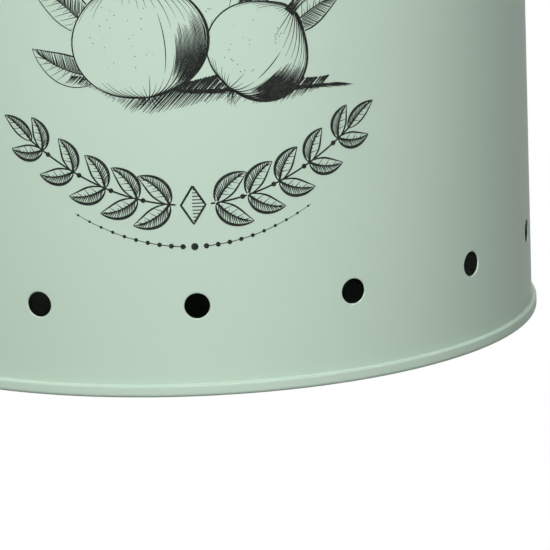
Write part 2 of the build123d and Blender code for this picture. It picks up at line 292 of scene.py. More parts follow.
class Nodes:
    """Adds and joins the nodes of one shader tree."""

    def __init__(self, tree: bpy.types.NodeTree) -> None:
        """Start from the tree, emptied."""
        self.tree = tree
        self.tree.nodes.clear()

    def node(self, kind: str, settings: Optional[dict] = None, **values: object) -> Node:
        """Add a node.

        Args:
            kind: the node's type, without "ShaderNode".
            settings: its own properties.
            values: its input sockets' values, with _ for a space.

        Returns:
            The new node.
        """
        node = self.tree.nodes.new("ShaderNode" + kind)
        for key, value in (settings or {}).items():
            setattr(node, key, value)
        for key, value in values.items():
            node.inputs[key.replace("_", " ")].default_value = value
        return node

    def join(self, source: Node, out: Socket, target: Node, into: Socket) -> None:
        """Link one node's output to another's input."""
        self.tree.links.new(source.outputs[out], target.inputs[into])

    def seen_as_white(self) -> Node:
        """Tell apart the rays that see the surroundings as white.

        Returns:
            A node that gives 1 to rays from the camera, off gloss or through glass, and else 0.
        """
        path = self.node("LightPath")
        direct = self.node("Math", {"operation": "MAXIMUM"})
        self.join(path, "Is Camera Ray", direct, 0)
        self.join(path, "Is Glossy Ray", direct, 1)
        seen = self.node("Math", {"operation": "MAXIMUM"})
        self.join(direct, 0, seen, 0)
        self.join(path, "Is Transmission Ray", seen, 1)
        return seen


class Recipe(Nodes):
    """Adds and joins the shader nodes of one material."""

    def __init__(self, name: str) -> None:
        """Start a material that holds an output and a Principled shader.

        Args:
            name: the material's name.
        """
        self.material = bpy.data.materials.new(name)
        self.material.use_nodes = True
        super().__init__(self.material.node_tree)
        self.output = self.node("OutputMaterial")
        self.shader = self.node("BsdfPrincipled")
        self.join(self.shader, "BSDF", self.output, "Surface")

    def settle(self, **values: object) -> None:
        """Set the shader's own sockets, with _ for a space in their names."""
        for key, value in values.items():
            self.shader.inputs[key.replace("_", " ")].default_value = value

    def place(self, turn: Point3 = (0, 0, 0)) -> Node:
        """Object coordinates, turned."""
        where = self.node("TexCoord")
        mapping = self.node("Mapping", Rotation=turn)
        self.join(where, "Object", mapping, "Vector")
        return mapping

    def mapped(self, at: Node, **values: object) -> Node:
        """Scale, turn or shift the first output of a node that gives coordinates.

        Args:
            at: the node.
            values: the mapping's own sockets.

        Returns:
            The mapping.
        """
        mapping = self.node("Mapping", **values)
        self.join(at, 0, mapping, "Vector")
        return mapping

    def noise(self, at: Node, scale: float, detail: float = 3, rough: float = 0.5) -> Node:
        """Lay a noise texture.

        Args:
            at: the mapping that it is laid at.
            scale: how fine it is.
            detail: how many finer layers it holds.
            rough: how strong they are.

        Returns:
            The noise, with its value in Fac.
        """
        noise = self.node("TexNoise", Scale=scale, Detail=detail, Roughness=rough)
        self.join(at, "Vector", noise, "Vector")
        return noise

    def ramp(self, source: Node, out: Socket, stops: Sequence[tuple[float, Colour]]) -> Node:
        """Turn a value into a colour.

        Args:
            source: the node that gives the value.
            out: its output.
            stops: values from 0 to 1, and the colour at each.

        Returns:
            The ramp.
        """
        ramp = self.node("ValToRGB")
        band = ramp.color_ramp
        while len(band.elements) < len(stops):
            band.elements.new(0.5)
        for element, (at, colour) in zip(band.elements, stops):
            element.position = at
            element.color = (*colour, 1)
        self.join(source, out, ramp, "Fac")
        return ramp

    def uneven_roughness(self, noise: Node, low: float, high: float) -> None:
        """Let a noise lead the shader's roughness from one value to another."""
        rough = self.node("MapRange", To_Min=low, To_Max=high)
        self.join(noise, "Fac", rough, "Value")
        self.join(rough, "Result", self.shader, "Roughness")

    def bump(self, source: Node, out: Socket, strength: float, distance: float) -> None:
        """Raise the surface by a texture.

        Args:
            source: the texture.
            out: its output.
            strength: how much of the relief shows.
            distance: its height in metres.
        """
        bump = self.node("Bump", Strength=strength, Distance=distance)
        self.join(source, out, bump, "Height")
        self.join(bump, "Normal", self.shader, "Normal")


@dataclass(frozen=True)
class Finish:
    """What a piece is coated with or made of."""

    name: str

    def material(self) -> bpy.types.Material:
        """The finish's material, made once and then shared."""
        return bpy.data.materials.get(self.name) or self.mix()

    def mix(self) -> bpy.types.Material:
        """Make the material."""
        raise NotImplementedError


@dataclass(frozen=True)
class BakedPaint(Finish):
    """Baked paint on steel, with the faint orange peel of a sprayed coat."""

    colour: Colour = (0.5, 0.5, 0.5)
    roughness: float = 0.4
    drift: float = 0.03  # of the colour, as a share
    peel: float = 0.05
    gloss: float = 0.5
    roughness_drift: float = 0.03
    cloud_scale: float = 14.0
    grain_scale: float = 420.0
    peel_scale: float = 900.0
    peel_height: float = 0.0004

    def mix(self) -> bpy.types.Material:
        """Make the paint: a colour that drifts a little and a skin of low, broad ripples.

        Returns:
            The material.
        """
        recipe = Recipe(self.name)
        at = recipe.place()
        cloud = recipe.noise(at, self.cloud_scale, 4)
        low = tuple(c * (1 - self.drift) for c in self.colour)
        high = tuple(min(1, c * (1 + self.drift)) for c in self.colour)
        ramp = recipe.ramp(cloud, "Fac", [(0.3, low), (0.7, high)])
        recipe.join(ramp, "Color", recipe.shader, "Base Color")
        grain = recipe.noise(at, self.grain_scale, 3)
        drift = self.roughness_drift
        recipe.uneven_roughness(grain, self.roughness - drift, self.roughness + drift)
        recipe.settle(Specular_IOR_Level=self.gloss)
        recipe.bump(recipe.noise(at, self.peel_scale, 2), "Fac", self.peel, self.peel_height)
        return recipe.material


@dataclass(frozen=True)
class PrintInk(Finish):
    """Screen ink, a little uneven where it sits on the paint."""

    colour: Colour = (0.01, 0.01, 0.01)
    worn: Colour = (0.04, 0.035, 0.03)
    roughness: float = 0.62
    gloss: float = 0.1
    speck_scale: float = 700.0
    relief: float = 0.08
    relief_height: float = 0.0001

    def mix(self) -> bpy.types.Material:
        """Make the ink: near black, with thinner and browner specks.

        Returns:
            The material.
        """
        recipe = Recipe(self.name)
        speck = recipe.noise(recipe.place(), self.speck_scale, 4, 0.65)
        ramp = recipe.ramp(speck, "Fac", [(0.42, self.colour), (0.75, self.worn)])
        recipe.join(ramp, "Color", recipe.shader, "Base Color")
        recipe.settle(Roughness=self.roughness, Specular_IOR_Level=self.gloss)
        recipe.bump(speck, "Fac", self.relief, self.relief_height)
        return recipe.material


@dataclass(frozen=True)
class PlatedSteel(Finish):
    """Zinc-plated steel with a fine mottle."""

    colour: Colour = (0.56, 0.57, 0.58)
    dull: float = 0.88  # of the colour, in the mottle's darker spots
    smooth: float = 0.24
    rough: float = 0.42
    mottle_scale: float = 260.0
    relief: float = 0.06
    relief_height: float = 0.0002

    def mix(self) -> bpy.types.Material:
        """Make the plating: a metal whose gloss and tone wander a little.

        Returns:
            The material.
        """
        recipe = Recipe(self.name)
        mottle = recipe.noise(recipe.place(), self.mottle_scale, 5, 0.6)
        low = tuple(c * self.dull for c in self.colour)
        ramp = recipe.ramp(mottle, "Fac", [(0.3, low), (0.7, self.colour)])
        recipe.join(ramp, "Color", recipe.shader, "Base Color")
        recipe.settle(Metallic=1.0)
        recipe.uneven_roughness(mottle, self.smooth, self.rough)
        recipe.bump(mottle, "Fac", self.relief, self.relief_height)
        return recipe.material


@dataclass(frozen=True)
class OiledWood(Finish):
    """Oiled acacia: growth rings, fine fibre, pores and, on wide pieces, staves."""

    dark: Colour = (0.19, 0.088, 0.034)
    middle: Colour = (0.34, 0.175, 0.073)
    light: Colour = (0.47, 0.262, 0.118)
    fibre_dark: Colour = (0.62, 0.58, 0.54)
    fibre_light: Colour = (0.93, 0.93, 0.92)
    pore_dark: Colour = (0.42, 0.38, 0.35)
    bare: Colour = (1, 1, 1)
    grain_turn: Point3 = (0, 0, 0)
    ring: float = 5.2  # from one growth ring to the next
    wave_period: float = 0.314  # metres between the wave texture's rings at scale 1
    stave: float = 0.0  # width of the glued-up staves, or 0 for one piece
    stave_jump: Point3 = (1.7, 0.09, 0.06)  # metres that staves may lie apart in the log
    log_scale: Point3 = (0.16, 1, 1)
    log_turn: Point3 = (0, 0.09, 0.05)
    log_middle: Point3 = (0, 0.013, 0.047)
    cloud_scale: Point3 = (9, 60, 60)
    fibre_scale: Point3 = (26, 800, 800)
    fibre_share: float = 0.75
    pore_scale: Point3 = (75, 1500, 1500)
    pore_share: float = 0.6
    pore_relief: float = 0.25
    pore_depth: float = 0.0001
    rough: float = 0.56
    smooth: float = 0.38
    gloss: float = 0.35

    def mix(self) -> bpy.types.Material:
        """Make the wood, with its grain along the turned X axis.

        Returns:
            The material.
        """
        recipe = Recipe(self.name)
        at = recipe.place(self.grain_turn)
        board = self.staves(recipe, at) if self.stave else at
        colour = self.figure(recipe, board)
        fibres = recipe.noise(recipe.mapped(board, Scale=self.fibre_scale), 1.0, 4, 0.65)
        fibre_stops = [(0.3, self.fibre_dark), (0.5, self.fibre_light), (0.7, self.bare)]
        streak = recipe.ramp(fibres, "Fac", fibre_stops)
        pores = recipe.noise(recipe.mapped(board, Scale=self.pore_scale), 1.0, 2, 0.5)
        pits = recipe.ramp(pores, "Fac", [(0.3, self.pore_dark), (0.38, self.bare)])
        streaked = self.darken(recipe, (colour, "Color"), streak, self.fibre_share)
        pitted = self.darken(recipe, streaked, pits, self.pore_share)
        recipe.join(*pitted, recipe.shader, "Base Color")
        recipe.uneven_roughness(fibres, self.rough, self.smooth)
        recipe.settle(Specular_IOR_Level=self.gloss)
        recipe.bump(pits, "Color", self.pore_relief, self.pore_depth)
        return recipe.material

    def figure(self, recipe: Recipe, board: Node) -> Node:
        """Lay the growth rings of a log that runs almost along the board.

        Args:
            recipe: the material being made.
            board: the board's coordinates.

        Returns:
            The ramp that gives the wood's colour.
        """
        log_in_board = recipe.mapped(
            board, Scale=self.log_scale, Rotation=self.log_turn, Location=self.log_middle
        )
        rings = recipe.node(
            "TexWave",
            {"wave_type": "RINGS", "rings_direction": "X", "wave_profile": "SAW"},
            Scale=self.wave_period / (self.ring * MM),
            Distortion=3.6,
            Detail=1.6,
            Detail_Scale=0.4,
            Detail_Roughness=0.55,
        )
        recipe.join(log_in_board, "Vector", rings, "Vector")
        cloud = recipe.noise(recipe.mapped(board, Scale=self.cloud_scale), 1.0, 4, 0.6)
        both = recipe.node("Mix", {"data_type": "FLOAT"})
        both.inputs[0].default_value = 0.5
        recipe.join(rings, "Fac", both, 2)
        recipe.join(cloud, "Fac", both, 3)
        stops = [(0.2, self.light), (0.45, self.middle), (0.62, self.middle), (0.83, self.dark)]
        return recipe.ramp(both, 0, stops)

    def darken(
        self, recipe: Recipe, base: tuple[Node, Socket], over: Node, share: float
    ) -> tuple[Node, Socket]:
        """Darken one colour by another.

        Args:
            recipe: the material being made.
            base: the node and the output that give the first colour.
            over: the ramp that darkens it.
            share: how much of the darkening shows.

        Returns:
            The node and the output that give the darkened colour.
        """
        mix = recipe.node("Mix", {"data_type": "RGBA", "blend_type": "MULTIPLY"})
        mix.inputs[0].default_value = share
        recipe.join(*base, mix, 6)
        recipe.join(over, "Color", mix, 7)
        return mix, 2

    def staves(self, recipe: Recipe, at: Node) -> Node:
        """Take each glued-up stave's grain from another part of the log.

        Args:
            recipe: the material being made.
            at: the coordinates before the shift.

        Returns:
            A node whose first output is the shifted coordinates.
        """
        split = recipe.node("SeparateXYZ")
        recipe.join(at, "Vector", split, "Vector")
        count = recipe.node("Math", {"operation": "DIVIDE"})
        count.inputs[1].default_value = self.stave * MM
        recipe.join(split, "Y", count, 0)
        whole = recipe.node("Math", {"operation": "FLOOR"})
        recipe.join(count, 0, whole, 0)
        chance = recipe.node("TexWhiteNoise", {"noise_dimensions": "1D"})
        recipe.join(whole, 0, chance, "W")
        jump = recipe.node("VectorMath", {"operation": "MULTIPLY"})
        jump.inputs[1].default_value = self.stave_jump
        recipe.join(chance, "Color", jump, 0)
        shifted = recipe.node("VectorMath", {"operation": "ADD"})
        recipe.join(at, "Vector", shifted, 0)
        recipe.join(jump, 0, shifted, 1)
        return shifted


@dataclass(frozen=True)
class WhiteFloor(Finish):
    """A floor that shows as plain white and still takes the bin's soft shadow."""

    tone: Colour = (0.18, 0.18, 0.18)  # what it gives back to the bin
    glow: float = 1.07
    white_share: float = 0.92  # of the glow in what is seen; the rest takes the shadow

    def mix(self) -> bpy.types.Material:
        """Make the floor: a glow for the rays that see it, and a plain grey for all others.

        Returns:
            The material.
        """
        recipe = Recipe(self.name)
        recipe.settle(Base_Color=(*self.tone, 1), Roughness=0.7, Specular_IOR_Level=0.1)
        glow = recipe.node("Emission", Color=(1, 1, 1, 1), Strength=self.glow)
        share = recipe.node("Math", {"operation": "MULTIPLY"})
        share.inputs[1].default_value = self.white_share
        recipe.join(recipe.seen_as_white(), 0, share, 0)
        mix = recipe.node("MixShader")
        recipe.join(share, 0, mix, 0)
        recipe.join(recipe.shader, "BSDF", mix, 1)
        recipe.join(glow, 0, mix, 2)
        recipe.join(mix, 0, recipe.output, "Surface")
        return recipe.material


class Coat(Enum):
    """The finishes on this bin."""

    SAGE = BakedPaint(
        "sage_green_paint",
        colour=(0.477, 0.603, 0.504),
        roughness=0.45,
        drift=0.012,
        peel=0.03,
        gloss=0.09,
    )
    BLACK = BakedPaint(
        "matt_black_coat", colour=(0.014, 0.0145, 0.0145), roughness=0.5, drift=0.2, peel=0.12
    )
    INK = PrintInk(
        "black_screen_ink", colour=(0.0115, 0.0145, 0.0125), worn=(0.042, 0.046, 0.04)
    )
    ZINC = PlatedSteel("zinc_plate")
    LID_WOOD = OiledWood("acacia_lid", stave=52.0)
    KNOB_WOOD = OiledWood("acacia_knob", ring=3.4)
    GRIP_WOOD = OiledWood("acacia_grip", grain_turn=(0, 0, math.radians(90)), ring=3.0)


class Slot(Enum):
    """The record's material slots."""

    BODY = "body_paint"
    BLACK = "black_steel"
    LID = "lid_wood"
    GRIP = "handle_wood"
    KNOB = "knob_wood"


def fit(piece: bpy.types.Object, body: str, slot: Slot, *nodes: str) -> bpy.types.Object:
    """Put a dressed piece in the place of its solids.

    Args:
        piece: the dressed piece.
        body: the body that it rides on.
        slot: the material slot that it stands for; not used.
        nodes: the solids that it stands for.

    Returns:
        The same piece.
    """
    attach(piece, body)
    if nodes:
        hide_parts(*nodes)
    log.info("%s rides on %s: %d faces", piece.name, body, len(piece.data.polygons))
    return piece


def coat_node(node: str, coat: Coat) -> None:
    """Give a carried-over solid one of the finishes.

    Args:
        node: the solid's name.
        coat: the finish.
    """
    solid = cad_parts[node]
    if not solid.material_slots:
        solid.data.materials.append(None)
    for slot in solid.material_slots:
        slot.material = coat.value.material()
    log.info("%s keeps its solid, in %s", node, coat.value.name)


# ---- Bin body ------------------------------------------------------------------------------


@dataclass(frozen=True)
class Tinware:
    """Sizes that the folded sheets share."""

    radius: float = 125.0
    sheet: float = 0.5
    fold: float = 0.58  # from the middle of one layer to the middle of the next
    seam_height: float = 4.4
    height: float = 245.0

    @property
    def middle(self) -> float:
        """Radius of the wall's middle line."""
        return self.radius - self.sheet / 2

    @property
    def low_turn(self) -> float:
        """Height of the body hook's turn."""
        return self.sheet / 2 + 2 * self.fold

    @property
    def high_turn(self) -> float:
        """Height of the pan hook's turn."""
        return self.seam_height - self.sheet / 2 - self.fold


@dataclass
class BodyShell:
    """The rolled wall: its bottom hook, air holes, lock seam and curled rim."""

    tin: Tinware = field(default_factory=Tinware)
    curl_radius: float = 1.95
    curl_turn: float = 310.0
    front: float = -90.0
    holes: int = 14  # divisions of the wall, of which the one at the back stays whole
    hole_height: float = 31.7
    hole_radius: float = 4.4
    lip_radius: float = 0.45
    inner_edge: Point2 = (0.03, 0.02)  # width and height of the bevel inside a hole
    flat_rings: tuple[float, float, float] = (0.3, 0.9, 1.6)  # out from a hole's mouth
    square: int = 8  # half the side of the patch round a hole
    plain_columns: int = 6
    seam_width: float = 5.5
    seam_depth: float = 1.0
    seam_bend: float = 0.3
    seam_sunk: float = 0.1  # how far the strip's two sides start inside the sheet
    seam_ends: Point2 = (8.5, 238.1)
    groove_depth: float = 0.2
    groove_floor: float = 0.12  # half widths: of its floor, of its mouth, and beside it
    groove_mouth: float = 0.25
    groove_side: float = 0.45
    groove_clear: float = 0.6  # plain columns nearer than this make way
    groove_fade: float = 0.5  # the length over which it runs out at each end
    groove_top_gap: float = 4.3  # from its upper end to the rim

    @property
    def pitch(self) -> float:
        """Degrees from one division to the next."""
        return 360 / self.holes

    @property
    def groove_angle(self) -> float:
        """Where the lock seam's fine outside line runs, in degrees."""
        return self.front + 180 + self.degrees(self.seam_width / 2)

    def degrees(self, along: float) -> float:
        """Degrees that a length along the outside takes."""
        return math.degrees(along / self.tin.radius)

    def is_back(self, sector: int) -> bool:
        """Whether a division lies on the lock seam, where no hole is pierced."""
        return sector * 2 == self.holes

    def columns(self, sector: int) -> list[float]:
        """The angles of one division's columns.

        Args:
            sector: the division's number, counted from the front.

        Returns:
            Angles from one edge of the division to the other, both edges included.
        """
        side = [
            blend(self.degrees(self.square), self.pitch / 2, share)
            for share in evenly(self.plain_columns)[1:]
        ]
        patch = [self.degrees(k) for k in range(-self.square, self.square + 1)]
        offsets = [-a for a in reversed(side)] + patch + side
        if self.is_back(sector):
            groove = self.degrees(self.seam_width / 2)
            offsets = [a for a in offsets if abs(a - groove) > self.degrees(self.groove_clear)]
            for away in (self.groove_floor, self.groove_mouth, self.groove_side):
                offsets += [groove - self.degrees(away), groove + self.degrees(away)]
        centre = self.front + sector * self.pitch
        return [centre + a for a in sorted(offsets)]

    def dip(self, angle: float) -> float:
        """How far the lock seam's fine outside line lies below the wall at an angle."""
        away = math.radians(abs(angle - self.groove_angle)) * self.tin.radius
        share = (self.groove_mouth - away) / (self.groove_mouth - self.groove_floor)
        return self.groove_depth * min(1, max(0, share))

    def skin(self, angle: float, point: Point2) -> Point3:
        """A point of the outline at an angle, sunk where the lock seam's line passes.

        Args:
            angle: the column's angle in degrees.
            point: radius and height before the line is pressed in.

        Returns:
            The point.
        """
        r, z = point
        low = self.tin.seam_height + self.groove_fade / 2
        high = self.tin.height - self.groove_top_gap - self.groove_fade / 2
        on_outside = abs(r - self.tin.radius) < 1e-6 and low < z < high
        return polar(r - self.dip(angle) if on_outside else r, angle, z)

    def lower_outline(self, top: float) -> list[Point2]:
        """Draw the wall's section from its foot up to a height.

        Args:
            top: the height.

        Returns:
            Points from the outside at that height, round the bottom hook, to the inside.
        """
        tin = self.tin
        line = SheetLine(tin.middle + 2 * tin.fold, tin.high_turn, -90)
        line.straight(tin.high_turn - tin.low_turn).bend(tin.fold, -180, 14)
        line.straight(tin.seam_height - tin.low_turn).straight(self.groove_fade)
        line.straight(top - tin.seam_height - self.groove_fade)
        half = tin.sheet / 2
        cap = line.rounded_end(tin.sheet, at_start=True)
        return line.side(-half)[::-1] + cap[::-1] + line.side(half)

    def upper_outline(self, bottom: float) -> list[Point2]:
        """Draw the wall's section from a height up to the curled rim.

        Args:
            bottom: the height.

        Returns:
            Points from the inside at that height, round the curl, to the outside.
        """
        tin = self.tin
        curl_height = tin.height - self.curl_radius - tin.sheet / 2
        groove_end = tin.height - self.groove_top_gap
        line = SheetLine(tin.middle, bottom, 90)
        line.straight(groove_end - self.groove_fade - bottom).straight(self.groove_fade)
        line.straight(curl_height - groove_end).bend(self.curl_radius, -self.curl_turn, 44)
        half = tin.sheet / 2
        cap = line.rounded_end(tin.sheet, at_start=False)
        return line.side(half) + cap[::-1] + line.side(-half)[::-1]

    def hole_rings(self) -> list[tuple[float, float, float]]:
        """Rings from the outside of a hole's square, through the hole, to the inside.

        Returns:
            For each ring, its share of the way from the square to a circle, the circle's
            radius, and its depth below the outside.
        """
        lip, sheet = self.lip_radius, self.tin.sheet
        mouth = self.hole_radius + lip
        near, middle, far = self.flat_rings
        flat = [(0.0, mouth), (0.5, mouth + far), (1.0, mouth + middle), (1.0, mouth + near)]
        rounded = [(mouth, 0.0), *arc((mouth, lip), lip, -90, -180, 10)]
        bevel, rise = self.inner_edge
        rings = [(share, radius, 0.0) for share, radius in flat]
        rings += [(1.0, radius, depth) for radius, depth in rounded]
        rings += [(1.0, self.hole_radius, sheet - rise), (1.0, self.hole_radius + bevel, sheet)]
        rings += [(share, radius, sheet) for share, radius in reversed(flat)]
        return rings

    def hole_patch(self, centre: float) -> Draft:
        """The square of wall round one air hole, outside and inside.

        Args:
            centre: the hole's direction in degrees.

        Returns:
            The patch, whose edges match the columns beside it.
        """
        n = self.square
        side = range(-n, n)
        edge = [(k, -n) for k in side] + [(n, k) for k in side]
        edge += [(-k, n) for k in side] + [(-n, -k) for k in side]
        rows = []
        for share, radius, depth in self.hole_rings():
            row = []
            for u, v in edge:
                length = math.hypot(u, v)
                turn = centre + self.degrees(blend(u, radius * u / length, share))
                height = self.hole_height + blend(v, radius * v / length, share)
                row.append(polar(self.tin.radius - depth, turn, height))
            rows.append(row)
        patch = Draft()
        patch.grid(rows, around=True)
        return patch

    def band(self, sector: int) -> Draft:
        """One division of the wall between the foot and the plain wall.

        Args:
            sector: the division's number.

        Returns:
            The division's outside and inside, with its hole where it has one.
        """
        draft = Draft()
        angles = self.columns(sector)
        heights = [self.hole_height + k for k in range(-self.square, self.square + 1)]
        runs = [angles]
        if not self.is_back(sector):
            n = self.plain_columns
            runs = [angles[: n + 1], angles[-n - 1 :]]
            draft.join(self.hole_patch(self.front + sector * self.pitch))
        for run in runs:
            for radius in (self.tin.radius, self.tin.radius - self.tin.sheet):
                draft.grid([[self.skin(a, (radius, z)) for z in heights] for a in run])
        return draft

    def lock_seam(self) -> Draft:
        """Draw the folded strip that stands inside the wall at the back.

        Returns:
            The strip, which starts a little way inside the sheet.
        """
        inner = self.tin.radius - self.tin.sheet
        half, deep = self.seam_width / 2, inner - self.seam_depth
        flat, root, bent = half - self.seam_bend, inner + self.seam_sunk, deep + self.seam_bend
        section = [(-half, root), (-half, bent)]
        section += [(blend(-flat, flat, share), deep) for share in evenly(6)]
        section += [(half, bent), (half, root)]
        back = self.front + 180
        rows = [[polar(r, back + self.degrees(u), z) for u, r in section] for z in self.seam_ends]
        draft = Draft()
        draft.grid(rows, around=True)
        for row in rows:
            draft.add(row, [tuple(range(len(row)))])
        return draft

    def build(self) -> bpy.types.Object:
        """Make the wall and fit it over its solid.

        Returns:
            The wall.
        """
        draft = Draft()
        low, high = self.hole_height - self.square, self.hole_height + self.square
        angles = [a for sector in range(self.holes) for a in self.columns(sector)[:-1]]
        for outline in (self.lower_outline(low), self.upper_outline(high)):
            draft.grid([[self.skin(a, p) for p in outline] for a in angles], along=True)
        for sector in range(self.holes):
            draft.join(self.band(sector))
        draft.join(self.lock_seam())
        piece = draft.finish("sage_body_shell", Coat.SAGE.value, 38)
        return fit(piece, "bin", Slot.BODY, "body_shell")


@dataclass
class BasePan:
    """The pressed base and the outer layers of the double seam."""

    tin: Tinware = field(default_factory=Tinware)
    floor: float = 5.75
    step_height: float = 1.5
    step_inset: float = 16.0
    step_run: float = 3.0
    step_radius: float = 2.0
    corner_radius: float = 1.75
    foot_radius: float = 0.65
    crease_radius: float = 0.3
    crease_sunk: Point2 = (0.1, 0.15)  # how far the paint reaches into the wall and the fold
    columns: int = 420

    def line(self) -> SheetLine:
        """Draw the pan's middle line.

        Returns:
            The line, from the pan's centre to the end of its hook.
        """
        tin = self.tin
        chuck = tin.middle - tin.fold
        slope = math.degrees(math.atan2(self.step_height, self.step_run))
        eased = self.step_radius * math.tan(math.radians(slope / 2))
        start = chuck - self.step_inset - self.step_run
        sloping = math.hypot(self.step_height, self.step_run)
        line = SheetLine(0, self.floor + self.step_height, 0)
        line.straight(start - eased).bend(self.step_radius, -slope, 6)
        line.straight(sloping - 2 * eased).bend(self.step_radius, slope, 6)
        line.straight(self.step_inset - eased - self.corner_radius)
        line.bend(self.corner_radius, -90, 10)
        foot = tin.sheet / 2
        line.straight(self.floor - self.corner_radius - foot - self.foot_radius)
        line.bend(self.foot_radius, 90, 10)
        outer_bend = 2 * tin.fold
        line.straight(4 * tin.fold - self.foot_radius - outer_bend).bend(outer_bend, 90, 18)
        line.straight(tin.high_turn - foot - outer_bend).bend(tin.fold, 180, 18)
        line.straight(tin.high_turn - tin.low_turn)
        return line

    def painted_crease(self) -> list[Point2]:
        """The paint that fills the crease between the wall and the top of the seam.

        Returns:
            A section whose hollow face touches the wall above and the seam's fold below.
        """
        tin, hollow = self.tin, self.crease_radius
        fold_r, fold_radius = tin.middle + 2 * tin.fold, tin.fold + tin.sheet / 2
        beside = tin.radius + hollow
        rise = math.sqrt((fold_radius + hollow) ** 2 - (fold_r - beside) ** 2)
        top = tin.high_turn + rise
        lowest = math.degrees(math.atan2(-rise, fold_r - beside))
        face = [(tin.radius, top), *arc((beside, top), hollow, -180, lowest, 8)]
        into_wall, into_fold = self.crease_sunk
        under = face[-1][1] - into_fold
        back = tin.radius - into_wall
        return [(back, top), *face, (face[-1][0], under), (back, under)]

    def build(self) -> bpy.types.Object:
        """Make the pan and fit it over its solid.

        Returns:
            The pan.
        """
        line, half = self.line(), self.tin.sheet / 2
        cap = line.rounded_end(self.tin.sheet, at_start=False)
        draft = Draft()
        draft.turned(line.side(-half) + cap + line.side(half)[::-1], self.columns, closed=False)
        draft.turned(self.painted_crease(), self.columns)
        return fit(draft.finish("sage_base_pan", Coat.SAGE.value), "bin", Slot.BODY, "base_pan")


# ---- Handles -------------------------------------------------------------------------------


class Side(Enum):
    """A side of the bin, with the half turn that takes the right-hand drawing there."""

    RIGHT = 0.0
    LEFT = 180.0

    @property
    def label(self) -> str:
        """The word that names begin with."""
        return self.name.lower()

    @property
    def turn(self) -> Matrix:
        """The turn about +Z."""
        return Matrix.Rotation(math.radians(self.value), 4, "Z")


